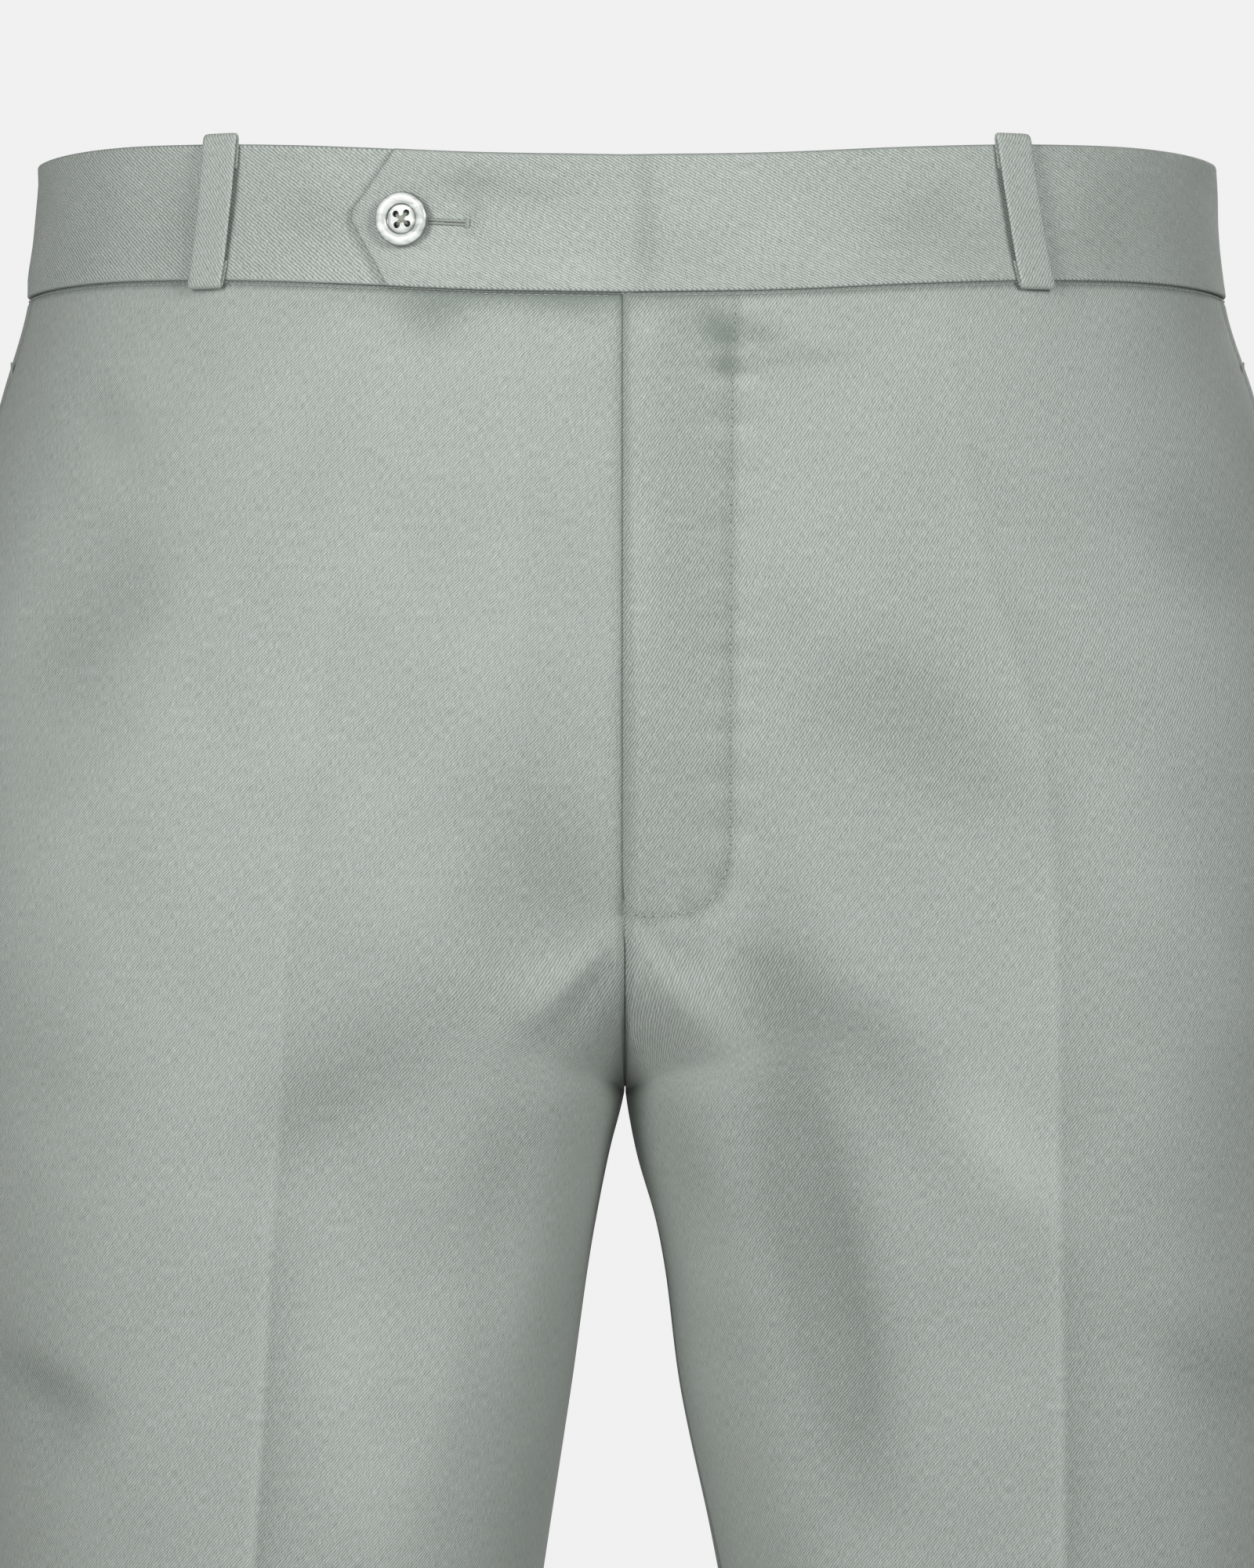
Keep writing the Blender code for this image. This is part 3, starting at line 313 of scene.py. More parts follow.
# The button, with its turned profile in millimetres: radius and height.
BUTTON_ACROSS = -0.0606
BUTTON_HEIGHT = -0.0177
BUTTON_LIFT = 0.0007
BUTTON_STEPS = 72
HOLE_RADIUS = 0.00085
HOLE_RING = 0.0022
HOLE_TURN = 0.10
BUTTON_PROFILE = (
    (0, 0), (6, 0), (6.8, 0.2), (7.3, 0.6), (7.58, 1.1), (7.65, 1.5), (7.5, 2), (7.1, 2.4),
    (6.6, 2.6), (5.8, 2.62), (5, 2.5), (4.5, 2.25), (4.25, 2), (4.2, 1.7), (4, 1.55), (3, 1.6),
    (0, 1.6),
)
SLIT_START = -0.0648
SLIT_SLANT_START = -0.0528
SLIT_END = -0.0432
SLIT_HEIGHT = -0.0184
SLIT_SLANT = 0.0006
CLOSE_STITCH = 0.00028

# Half of a zip tooth's outline in millimetres, and its rings: size and place behind the foot.
TOOTH = ((-1.3, -0.30), (0.4, -0.34), (1.0, -0.46), (1.3, -0.24))
TOOTH_RINGS = ((1.0, 0.0), (1.0, 0.00022), (0.86, 0.00034))
ZIP_MIDDLE = 0.0110
ZIP_TOP = -0.0440
ZIP_BOTTOM = -0.2050
ZIP_PITCH = 0.0012
ZIP_DEPTH = 0.0042

# Each lamp's place, target, size and power.
CHEST = (0.0, -0.05, -0.15)
LAMPS = (
    ("key_left", (0.6, -1.05, 0.3), CHEST, (0.4, 0.4), 7.1),
    ("key_right", (-0.6, -1.05, 0.3), CHEST, (0.4, 0.4), 5.6),
    ("low_right", (-0.6, -1.05, -0.15), CHEST, (0.4, 0.4), 1.4),
    ("far_right", (-1.2, -1.05, -0.15), CHEST, (0.4, 0.4), 1.7),
    ("legs", (0.0, -1.6, -0.9), (0.0, 0.0, -0.8), (1.0, 0.5), 0.8),
    ("back", (0.6, 2.6, 1.0), (0.0, 0.0, -0.5), (1.6, 1.6), 42.0),
)


def along(columns, wanted, at):
    """One column of a table, on a smooth curve through its rows."""
    known, *_ = columns.values()
    value = columns[wanted]
    slope = np.gradient(value, known)
    at = np.asarray(at, float)
    start = np.clip(np.searchsorted(known, at) - 1, 0, len(known) - 2)
    end = start + 1
    span = known[end] - known[start]
    part = np.clip((at - known[start]) / span, 0.0, 1.0)
    rest = 1 - part
    first = (1 + 2 * part) * rest**2 * value[start] + part * rest**2 * span * slope[start]
    last = part**2 * (3 - 2 * part) * value[end] - part**2 * rest * span * slope[end]
    return first + last


def ease(part):
    """0 to 1 with level ends."""
    part = np.clip(part, 0.0, 1.0)
    return part * part * (3 - 2 * part)


def bell(distance, width):
    return np.exp(-((distance / width) ** 2))


def mix(first, second, part):
    return first + (second - first) * part


def rounded(value, power):
    return np.sign(value) * np.abs(value) ** (2.0 / power)


def lengths(points, axis=0):
    """The distance of each point along its line from the line's start."""
    gone = np.cumsum(np.linalg.norm(np.diff(points, axis=axis), axis=-1), axis)
    return np.concatenate([0.0 * np.take(gone, [0], axis), gone], axis)


def quads_of(index):
    """The faces of a grid of vertex numbers."""
    corners = (index[:-1, :-1], index[1:, :-1], index[1:, 1:], index[:-1, 1:])
    return np.stack(corners, -1).reshape(-1, 4)


def between(anchors, run):
    """The angle at each run, from the angles of the five lines that bound the quarters."""
    quarter = np.clip(np.floor(run).astype(int), 0, 3)
    anchors = np.stack([np.broadcast_to(anchor, run.shape) for anchor in anchors])
    start, end = (np.take_along_axis(anchors, quarter[None] + step, 0)[0] for step in (0, 1))
    return mix(start, end, run - quarter)


def body_section(side, height):
    """(half width, how square, reach forward, reach back)"""
    wanted = (f"half_{NAMES[side]}", "power", "front", "back")
    return [along(BODY, name, height) for name in wanted]


def body_angle(side, run, height):
    half, power, front, _ = body_section(side, height)
    wanted = (f"crease_{NAMES[side]}", "back_crease", "side_ahead")
    crease, back_crease, ahead = (along(LINES, name, height) for name in wanted)
    anchors = (
        0.0,
        np.arcsin((crease / half) ** (power / 2)),
        np.arccos((ahead / front) ** (power / 2)),
        math.pi - np.arcsin((back_crease / half) ** (power / 2)),
        math.pi,
    )
    return between(anchors, run)


def body_point(side, angle, height):
    """(across, deep) of the body's half section."""
    half, power, front, back = body_section(side, height)
    turned = np.cos(angle)
    deep = -np.where(turned > 0, front, back) * rounded(turned, power)
    return side * half * rounded(np.sin(angle), power), deep


def body_depth(side, across, height, behind):
    """How deep the body's section is at a place across."""
    half, power, front, back = body_section(side, height)
    reach = (1 - np.clip(np.abs(across) / half, 0.0, 1.0) ** power) ** (1 / power)
    return np.where(behind, back, -front) * reach


def corner(angle, power):
    """The point (turned, lifted) of a superellipse of unit size in the direction of an angle."""
    turned = np.cos(angle)
    lifted = np.sin(angle)
    far = (np.abs(turned) ** power + np.abs(lifted) ** power) ** (-1 / power)
    return far * turned, far * lifted


def direction(lifted, power):
    """The direction in which that superellipse reaches a height."""
    lifted = np.minimum(lifted, FLATTEST)
    return np.arctan2(lifted, (1 - lifted**power) ** (1 / power))


def leg_point(side, run, height, joined, front_web, back_web, close, body_across):
    """(across, deep) of a leg's section. The webs say how far out the seat seam is where the legs
    are joined. Where close is below 1, the point moves across towards the body's.
    """
    size = {name: along(LEGS[side], name, height) for name in LEGS[side]}
    front_power = size["inner_power"]
    seat_power = size["seat_power"]
    inner = np.maximum(size["inner"], HALF_GAP)
    ahead_inside = np.maximum(size["inseam_ahead"], 0.0) / (size["front"] + size["middle"])
    start = direction(np.where(joined, front_web, ahead_inside), front_power)
    end = np.where(joined, -direction(back_web, seat_power), start)
    seam = math.pi - direction(along(LINES, "side_ahead", height) / size["front"], LEG_POWER)
    angle = between((start, math.pi / 2, seam, 1.5 * math.pi, 2 * math.pi + end), run)
    ahead = np.sin(angle) > 0
    inside = np.cos(angle) > 0
    power = np.where(inside, np.where(ahead, front_power, seat_power), LEG_POWER)
    turned, lifted = corner(angle, power)
    furthest = np.where(ahead, corner(start, front_power)[0], corner(end, seat_power)[0])
    pivot = np.where(ahead, size["crease"], size["back_crease"])
    reach = np.where(inside, pivot - inner, size["outer"] - pivot)
    reach = reach / np.where(inside & joined, furthest, 1.0)
    across = mix(body_across, side * (pivot - turned * reach), close)
    moved = inside & (close < 1)
    turned = np.where(moved, np.clip((pivot - side * across) / reach, 0.0, 1.0), turned)
    bent = np.sign(lifted) * (1 - np.abs(turned) ** power) ** (1 / power)
    lifted = np.where(moved, bent, lifted)
    level = np.where(inside, size["middle"] * np.abs(turned), 0.0)
    depth = np.where(ahead, size["front"], size["back"])
    return across, level - lifted * (depth + np.sign(lifted) * level)


def fork_turn(part, start, drop):
    """The turn, 0 to 90 degrees, round the quarter ellipse of a seat seam, slower at the crotch."""
    part = np.clip((part - start) / (1 - start), 0.0, 1.0)
    speed = FORK_DEPTH * (1 - start) / drop
    return (math.pi / 2) * ease(part) + speed * (part - 2 * part**2 + part**3)


def band_rise(angle):
    return along(BAND_RISE, "rise", np.degrees(np.abs(angle)))


def base_surface(side, rows, run):
    """The side's surface without folds: an array of points, a row for each level."""
    height, part = (np.repeat(rows[:, index, None], len(run), 1) for index in (0, 1))
    run = np.repeat(run[None], len(rows), 0)
    high = ease((height - FORK_TOP) / (PANEL_TOP - FORK_TOP))
    lift = band_rise(body_angle(side, run, height)) * high
    outside = np.clip(np.sin((run - 1) * math.pi / 2), 0, 1)
    slant = HEM_SLANT * outside * ease((SLANT_TOP - height) / SLANT_DEPTH)
    front_turn = fork_turn(part, FRONT_FORK_START, FRONT_FORK_DEPTH)
    back_turn = fork_turn(part, 0.0, FORK_DEPTH)
    inside = (part > 0) & (part < 1)
    front_seam = CROTCH + FRONT_FORK_DEPTH - FRONT_FORK_DEPTH * np.sin(front_turn)
    front_seam = np.where(inside & (part > FRONT_FORK_START), front_seam, height)
    back_seam = np.where(inside, FORK_TOP - FORK_DEPTH * np.sin(back_turn), height)
    height = mix(back_seam, height, ease((4 - run) / SEAT_REACH))
    height = mix(front_seam, height, ease(run / SEAT_REACH)) + lift - slant
    parted = mix(CROTCH, PARTING_BOTTOM, ease(np.minimum(run, 4 - run) / SEAT_REACH))
    close = ease((PARTING_TOP - height) / (PARTING_TOP - parted))
    body = body_point(side, body_angle(side, run, height), height)
    webs = (np.cos(front_turn), np.cos(back_turn))
    leg = leg_point(side, run, height, part < 1, *webs, close, body[0])
    inner_half = body_depth(side, leg[0], height, run > 2)
    body_deep = np.where(np.abs(run - 2) > 1, inner_half, body[1])
    return np.stack([leg[0], mix(body_deep, leg[1], close), height], -1)


def normals(side, points, open_rows):
    """Outward directions. Rows above the crotch meet the other side, and lower ones close."""
    round_way = np.gradient(points, axis=1)
    closing = points[:, 1] - points[:, -2]
    for end in (0, -1):
        round_way[:, end] = np.where(open_rows[:, None], round_way[:, end], closing)
    found = side * np.cross(np.gradient(points, axis=0), round_way)
    found[open_rows, 0, 0] = 0.0
    found[open_rows, -1, 0] = 0.0
    found[np.count_nonzero(open_rows), (0, -1)] = (0.0, 0.0, -1.0)
    return found / np.linalg.norm(found, axis=-1, keepdims=True)


def crease_rise(side, points, run):
    """(how far the pressed creases stand out, their painted light and shade: a painted highlight
    along each crease and painted shade on its steep side)
    """
    distance = lengths(points, 1)
    total = np.zeros(points.shape[:2])
    painted_shading = np.zeros(points.shape[:2])
    for face, quarter in (("front", 1), ("back", 3)):
        off = distance - distance[:, [np.searchsorted(run, quarter - 1e-9)]]
        rise = along(CREASES, f"{face}_{NAMES[side]}", points[..., 2])
        steep = off * side > 0
        total += rise * np.exp(-np.abs(off) / np.where(steep, CREASE_STEEP, CREASE_REACH))
        fade = np.exp(-np.abs(off) / CREASE_FADE) * (1 - bell(off, CREASE_CLEAR))
        # Painted highlight along the crease; painted shade on its steep side and a little painted
        # light on the other.
        edge = CREASE_LIGHT * bell(off, CREASE_EDGE)
        shade = edge - np.where(steep, 1.0, CREASE_FAR_SIDE) * fade
        painted_shading += np.minimum(rise / CREASE_FULL, 1.0) * shade
    return total, painted_shading


def fold_rise(side, points, run, folds, below_waist, clear_seat=FOLD_CLEAR_SEAT):
    """How far folds raise each point. They keep off the fly's strip where below_waist is set."""
    total = np.zeros(points.shape[:2])
    flat = points[..., (0, 2)]
    for face in ("front", "back"):
        on_face = (run < 2) == (face == "front")
        for *ends, spread, rise in np.array(folds.get((face, side), ())) / 1000:
            line = np.subtract(ends[2:], ends[:2])
            gone = flat - ends[:2]
            part = np.clip(gone @ line / (line @ line), 0.0, 1.0)
            off = np.linalg.norm(gone - part[..., None] * line, axis=-1)
            swell = np.sin(math.pi * mix(FOLD_ENDS, 1 - FOLD_ENDS, part))
            total += np.where(on_face, rise * bell(off, spread) * swell, 0.0)
    beside_fly = ease((np.abs(points[..., 0]) - FLY_WIDTH / 2) / FLY_WIDTH)
    below_fly = ease((FLY_BOTTOM - points[..., 2]) / FLY_FADE)
    free = np.maximum(beside_fly, below_fly) if below_waist else 1.0
    from_seat = ease(np.minimum(run, 4 - run) / clear_seat)
    return total * free * from_seat * ease(np.abs(run - 2) / FOLD_CLEAR_SIDE)


def fly_rise(side, points, run):
    """How far the left front stands out over the fly."""
    if side == RIGHT:
        return np.zeros(points.shape[:2])
    across = 1 - ease((np.abs(points[..., 0]) - FLY_FLAT) / (FLY_WIDTH - FLY_FLAT))
    down = ease((points[..., 2] - FLY_BOTTOM + FLY_FADE) / FLY_FADE)
    return FLY_RISE * across * down * (run < 2)


def soft_waves(points, seed, size, count=9):
    """Smooth uneven swells from -1 to 1, a few centimetres long."""
    random = np.random.default_rng(seed)
    total = np.zeros(points.shape[:2])
    for _ in range(count):
        way = random.normal(size=3)
        way *= 2 * math.pi / (size * random.uniform(0.7, 1.6) * np.linalg.norm(way))
        total += np.sin(points @ way + random.uniform(0, 2 * math.pi))
    return total / math.sqrt(count)


def nearest_on(line, flat):
    """(distance from a line of points, distance along it) of each flat point."""
    best = np.full(flat.shape[:-1], np.inf)
    place = np.zeros(flat.shape[:-1])
    gone = 0.0
    for start, end in zip(line, line[1:]):
        way = end - start
        length = np.linalg.norm(way)
        part = np.clip((flat - start) @ way / length**2, 0.0, 1.0)
        off = np.linalg.norm(flat - start - part[..., None] * way, axis=-1)
        place = np.where(off < best, gone + part * length, place)
        best = np.minimum(best, off)
        gone += length
    return best, place


def stitch_puckers(side, points, run):
    """The groove and the small puckers along the fly's stitching."""
    if side == RIGHT:
        return np.zeros(points.shape[:2])
    off, place = nearest_on(np.array(FLY_LINE) / 1000, points[..., (0, 2)])
    turns = 2 * math.pi * place
    strong = 0.35 + 0.65 * bell(place - 0.018, 0.022) + 0.25 * bell(place - 0.150, 0.04)
    wave = np.sin(turns / 0.0125 + 1.7 * np.sin(place * 61.0)) + 0.5 * np.sin(turns / 0.0071)
    groove = -0.00045 * bell(off, 0.0016)
    return (groove + 0.00022 * strong * wave * bell(off, 0.0075)) * (run < 1.2)


def fine_levels():
    """Each row's (height at the side, part of the fork gone by), closer down to the thigh."""
    thigh = np.linspace(CROTCH, KNEE, 78, endpoint=False)
    shin = np.linspace(KNEE, HEM_TURN + TURN_STEP, 118, endpoint=False)
    turned = np.linspace(HEM_TURN + TURN_STEP, HEM, 14)
    rows = [(height, 0.0) for height in np.linspace(PANEL_TOP, FORK_TOP, 62, endpoint=False)]
    fork = np.linspace(0.0, 1.0, 48, endpoint=False)
    rows += [(FORK_TOP - part * FORK_DEPTH, part) for part in fork]
    rows += [(height, 1.0) for height in np.concatenate([thigh, shin, turned])]
    return np.array(rows)


def fine_runs():
    found = [quarter + np.arange(spans) / spans for quarter, spans in enumerate(QUARTER_SPANS)]
    return np.append(np.concatenate(found), 4.0)


def painted_spots(points, shades):
    """The painted shade or painted light of soft oval places on the front."""
    across, deep, height = np.moveaxis(points, -1, 0) * 1000
    total = np.zeros(points.shape[:2])
    for x, z, wide, high, painted_shading in shades:
        total += painted_shading * bell(across - x, wide) * bell(height - z, high) * (deep < 0)
    return total


def side_surface(side, rows, run):
    """(points, outward directions, painted shade and light) of a side."""
    points = base_surface(side, rows, run)
    above = points[:, 0, 2] > JUST_ABOVE_CROTCH
    out = normals(side, points, above)
    across = np.abs(points[..., 0])
    height = points[..., 2]
    rise, painted_shading = crease_rise(side, points, run)
    folds = fold_rise(side, points, run, LARGE_FOLDS, True)
    folds += fold_rise(side, points, run, SMALL_FOLDS, False)
    folds += fold_rise(side, points, run, FORK_FOLDS, False, FORK_CLEAR)
    rise = rise + fly_rise(side, points, run) + folds
    # Painted shade and painted highlights: the creases' from above, and the folds', darker in
    # troughs and lighter on ridges.
    painted_shading = CREASE_PAINTED_SHADING * painted_shading + FOLD_PAINTED_SHADING * np.clip(folds / FOLD_FULL, -1.0, 1.0)
    # Painted shade over the fly's strip.
    inside_fly = ease((0.0300 - across) / 0.003) * ease((height - FLY_BOTTOM) / 0.006)
    painted_shading -= FLY_PAINTED_SHADE[side] * inside_fly * (run < 2)
    # A painted shadow on the right front, beside the fly's edge that lies over it.
    if side == RIGHT:
        beside_edge = (height > FLY_BOTTOM) * (run < 1)
        painted_shading -= FLY_EDGE_PAINTED_SHADOW * np.exp(-across / FLY_EDGE_REACH) * beside_edge
    # Painted shadow under the tab, and other painted shade and light in soft ovals.
    painted_shading += painted_spots(points, PANEL_PAINTED_SHADING)
    # Painted shade on the back of each leg by the inseam, below the crotch.
    painted_shading -= INNER_LEG_PAINTED_SHADE * ease((run - 3.55) / 0.3) * ease((CROTCH - 0.006 - height) / 0.02)
    # Painted shade just under the waistband.
    below_band = np.clip(PANEL_TOP - rows[:, :1], 0.0, 1.0)
    painted_shading -= UNDER_BAND_PAINTED_SHADE * np.exp(-below_band / UNDER_BAND_REACH)
    calm = ease(np.minimum(run, 4 - run) / CALM_SEAM) * ease(np.abs(run - 2) / CALM_SIDE)
    off_fly = np.maximum(ease((across - 0.010) / 0.030), height < FLY_BOTTOM - 0.01)
    waves = 0.00042 * soft_waves(points, 3 + side, 0.11)
    waves += 0.00016 * soft_waves(points, 8 + side, 0.034)
    rise += waves * calm * off_fly * ease((PANEL_TOP - height) / 0.05)
    puckers = stitch_puckers(side, points, run)
    # Painted shade in the stitch groove and the puckers' hollows, painted light on their crests.
    painted_shading += np.clip(puckers / PUCKER_FULL, -1.0, 1.0) * PUCKER_PAINTED_SHADING
    points = points + (rise + puckers)[..., None] * out
    return points, normals(side, points, above), painted_shading


def trim_middle(side, points, rows_above, edge, front):
    place = np.full(len(points), side * HALF_GAP)
    if front:
        fly_edge = FLY_EDGE if side == LEFT else FLY_LAP
        place = mix(place, fly_edge, ease((points[:, edge, 2] - FLY_BOTTOM) / FLY_FADE))
    points[rows_above, edge, 0] = place[rows_above]


def trim_seam(points, rows, edge, inside):
    away = points[rows, inside] - points[rows, edge]
    points[rows, edge] += HALF_GAP * away / np.linalg.norm(away, axis=-1, keepdims=True)


def edge_roll(points, reach, sides):
    """How far a grid's edges roll back, as if folded: sides is (top, bottom, first, last)."""
    distances = (
        lengths(points),
        lengths(points[::-1])[::-1],
        lengths(points, 1),
        lengths(points[:, ::-1], 1)[:, ::-1],
    )
    total = np.zeros(points.shape[:2])
    for distance, wanted in zip(distances, sides):
        if wanted:
            short = np.clip(1 - distance / reach, 0.0, 1.0)
            total = np.maximum(total, reach * (1 - np.sqrt(1 - short**2)))
    return total


def add_painted_shading(data, painted_shading):
    """The argument is how much lighter or darker each point is painted: painted highlights on
    ridges and crease edges, painted shade in troughs, seams and hollows.
    """
    values = painted_shading.ravel().astype(np.float32)
    data.attributes.new("painted_shading", "FLOAT", "POINT").data.foreach_set("value", values)


def link(name, data):
    piece = bpy.data.objects.new(name, data)
    bpy.context.scene.collection.objects.link(piece)
    return piece


def shell(name, outer, inner, spread, painted_shading=None):
    """One closed mesh from two like grids. spread, the distances on the cloth, is its UV map."""
    rows, columns = outer.shape[:2]
    count = rows * columns
    index = np.arange(count).reshape(rows, columns)
    quads = quads_of(index)
    rim = np.concatenate([index[0, :-1], index[:-1, -1], index[-1, :0:-1], index[:0:-1, 0]])
    rim_next = np.roll(rim, -1)
    sides = np.stack([rim, rim_next, rim_next + count, rim + count], -1)
    faces = np.concatenate([quads, quads[:, ::-1] + count, sides])
    row, column = rows // 2, columns // 2
    below = outer[row + 1, column]
    way = np.cross(below - outer[row, column], outer[row + 1, column + 1] - below)
    if way @ (outer[row, column] - inner[row, column]) < 0:
        faces = faces[:, ::-1]
    data = bpy.data.meshes.new(name)
    points = np.concatenate([outer.reshape(-1, 3), inner.reshape(-1, 3)])
    data.from_pydata(points.tolist(), [], faces.tolist())
    uv = np.concatenate([spread.reshape(-1, 2)] * 2)
    loops = np.empty(len(data.loops), int)
    data.loops.foreach_get("vertex_index", loops)
    uv_layer = data.uv_layers.new(name="cloth")
    uv_layer.data.foreach_set("uv", uv[loops].astype(np.float32).ravel())
    outside = np.zeros(count) if painted_shading is None else painted_shading.ravel()
    add_painted_shading(data, np.append(outside, np.zeros(count)))
    data.shade_smooth()
    data.set_sharp_from_angle(angle=math.radians(60))
    return link(name, data)


def dress(piece, material, slot, *nodes):
    """Gives a piece its material and its body, and hides the CAD nodes that it stands for. slot is
    not used.
    """
    piece.data.materials.clear()
    piece.data.materials.append(material)
    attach(piece, "root")
    if nodes:
        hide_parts(*nodes)
    return piece


def spread_of(across, down):
    """Distances on the cloth: across, to the right seen from outside, and up."""
    return np.stack([across, np.repeat(-lengths(down)[:, None], across.shape[1], 1)], -1)


def make_panels(side, rows, run, points, out, painted_shading, seam, cloth):
    """The front and the back of one side, with their seams rolled in. Gives the front's outside."""
    above = points[:, 0, 2] > JUST_ABOVE_CROTCH
    below_turn = HEM_TURN - rows[:, 0]
    wall = mix(WALL, HEM_WALL, ease(below_turn / TURN_STEP))[:, None, None]
    hem_line = -0.00030 * bell(below_turn, 0.0022)[:, None, None]
    made = []
    for face, columns in (("front", slice(0, seam + 1)), ("back", slice(seam, None))):
        front = face == "front"
        outer = points[:, columns].copy()
        normal = out[:, columns]
        fly = front and side == LEFT
        roll = edge_roll(outer, 0.0022, (True, False, not fly, True)) * 0.30
        if fly:
            roll = np.maximum(roll, edge_roll(outer, 0.0010, (False, False, True, False)) * 0.8)
        inner = outer - wall * normal
        outer = outer - (roll[..., None] - hem_line) * normal
        at_middle, next_middle, at_side, next_side = (0, 1, -1, -2) if front else (-1, -2, 0, 1)
        for layer in (outer, inner):
            trim_seam(layer, slice(None), at_side, next_side)
            trim_seam(layer, ~above, at_middle, next_middle)
            trim_middle(side, layer, above, at_middle, front)
        crease = int(np.searchsorted(run, (1 if front else 3) - 1e-9)) - columns.start
        round_way = lengths(outer, 1)
        across = side * (round_way - round_way[:, [crease]])
        name = f"{face}_{NAMES[side]}"
        # Painted shade where the panel's edges roll in at the seams, the waist and the fly.
        shade = painted_shading[:, columns] - SEAM_PAINTED_SHADE * ease(roll / 0.0006)
        piece = shell(f"{name}_cloth", outer, inner, spread_of(across, outer[:, crease]), shade)
        dress(piece, cloth, "cloth", name)
        made.append(outer)
    return made[0]


def make_strip(name, outer, inner, cloth, *nodes):
    """A thin strip of cloth between two like grids."""
    spread = spread_of(lengths(outer, 1), outer[:, 0])
    return dress(shell(name, outer, inner, spread), cloth, "cloth_inside", *nodes)


def make_turning(name, points, out, wall, cloth):
    """The edges of a seam, pressed open along its inner side."""
    depth = (wall + STRIP_GAP)[:, None, None]
    make_strip(name, points - depth * out, points - (depth + STRIP_WALL) * out, cloth)


def make_turnings(rows, sides, cloth):
    """The pressed-open edges inside the side seams, the inseams and the seat seam."""
    wall = mix(WALL, HEM_WALL, ease((HEM_TURN - rows[:, 0]) / TURN_STEP))
    spans = INNER_TURNING_SPANS
    for side, points, out, seam in sides:
        low = rows[:, 0] < POCKET_BOTTOM - 0.002
        columns = slice(seam - TURNING_SPANS, seam + TURNING_SPANS + 1)
        name = f"turning_side_{NAMES[side]}"
        make_turning(name, points[low, columns], out[low, columns], wall[low], cloth)
        low = points[:, 0, 2] < CROTCH - 0.004
        grids = [
            np.concatenate([grid[low, -spans - 1 : -1], grid[low, : spans + 1]], 1)
            for grid in (points, out)
        ]
        make_turning(f"turning_inseam_{NAMES[side]}", *grids, wall[low], cloth)
    right, left = sides
    height = right[1][:, 0, 2]
    above = height > JUST_ABOVE_CROTCH
    under_fly = above & (height < UNDERLAP_BOTTOM - 0.001)
    front_columns = (slice(spans, 0, -1), slice(0, spans + 1))
    back_columns = (slice(-spans - 1, -1), slice(None, -spans - 2, -1))
    for name, kept, first, last in (
        ("turning_front", under_fly, *front_columns),
        ("turning_back", above, *back_columns),
    ):
        grids = [
            np.concatenate([right[grid][kept, first], left[grid][kept, last]], 1) for grid in (1, 2)
        ]
        make_turning(name, *grids, wall[kept], cloth)


def make_facing(side, rows, points, out, seam, cloth):
    """The strip inside the side seam that closes the pocket's slit."""
    kept = (rows[:, 0] < POCKET_TOP) & (rows[:, 0] > POCKET_BOTTOM)
    columns = slice(seam - TURNING_SPANS, seam + TURNING_SPANS + 1)
    depth = WALL + 2 * HALF_GAP
    place, normal = points[kept, columns], out[kept, columns]
    layers = [place - down * normal for down in (depth, depth + FACING_WALL)]
    name = f"pocket_facing_{NAMES[side]}"
    make_strip(f"{name}_cloth", *layers, cloth, name)


def angle_at(side, across, height):
    half, power, _, _ = body_section(side, height)
    return np.arcsin(np.clip(across / half, 0, 1) ** (power / 2))


def make_underlap(cloth):
    """The strip behind the fly, bent round the closed zip."""
    places, behind = np.array(UNDERLAP).T / 1000
    line = np.linspace(places[0], places[-1], 45)
    across, height = np.meshgrid(line, np.linspace(UNDERLAP_TOP, UNDERLAP_BOTTOM, 70))
    deep = [
        body_point(side, angle_at(side, np.abs(across), height), height)[1]
        for side in (LEFT, RIGHT)
    ]
    deep = np.where(across >= 0, *deep) + np.interp(line, places, behind)
    layers = [np.stack([across, deep + wall, height], -1) for wall in (0.0, WALL)]
    make_strip("fly_underlap_cloth", *layers, cloth, "fly_underlap")


def band_outward(side, angle, height):
    first, last = (np.stack(body_point(side, angle + turn, height), -1) for turn in (-0.01, 0.01))
    way = last - first
    out = side * np.stack([way[..., 1], -way[..., 0]], -1)
    return out / np.linalg.norm(out, axis=-1, keepdims=True)


def band_point(side, angle, height, proud):
    """A point of the waistband's ring, proud of the body's surface. angle is never below 0."""
    flat = np.stack(body_point(side, angle, height), -1)
    flat = flat + np.asarray(proud)[..., None] * band_outward(side, angle, height)
    return np.concatenate([flat, np.broadcast_to(height, flat.shape[:-1])[..., None]], -1)


def angle_round(side, distance, height):
    """The turn at a distance round the band from the centre front."""
    angle = np.linspace(0.0, math.pi, 721)
    points = np.stack(body_point(side, angle, np.full_like(angle, height)), -1)
    return np.interp(distance, lengths(points), angle)


def band_rows(side, angle, proud):
    """Grid rows down the band at these turns: a row of turns for each part, or one for all."""
    angle = np.broadcast_to(angle, (len(BAND_PARTS), np.shape(angle)[-1]))
    height = band_rise(angle) - BAND_PARTS[:, None] * BAND_DEPTH
    return band_point(side, angle, height, np.broadcast_to(proud, angle.shape))


def band_swell(points):
    """The band's slight unevenness."""
    inside = ease(BAND_PARTS / 0.2) * ease((1 - BAND_PARTS) / 0.2)
    waves = 0.00034 * soft_waves(points, 21, 0.05) + 0.00016 * soft_waves(points, 22, 0.02)
    return waves * inside[:, None]


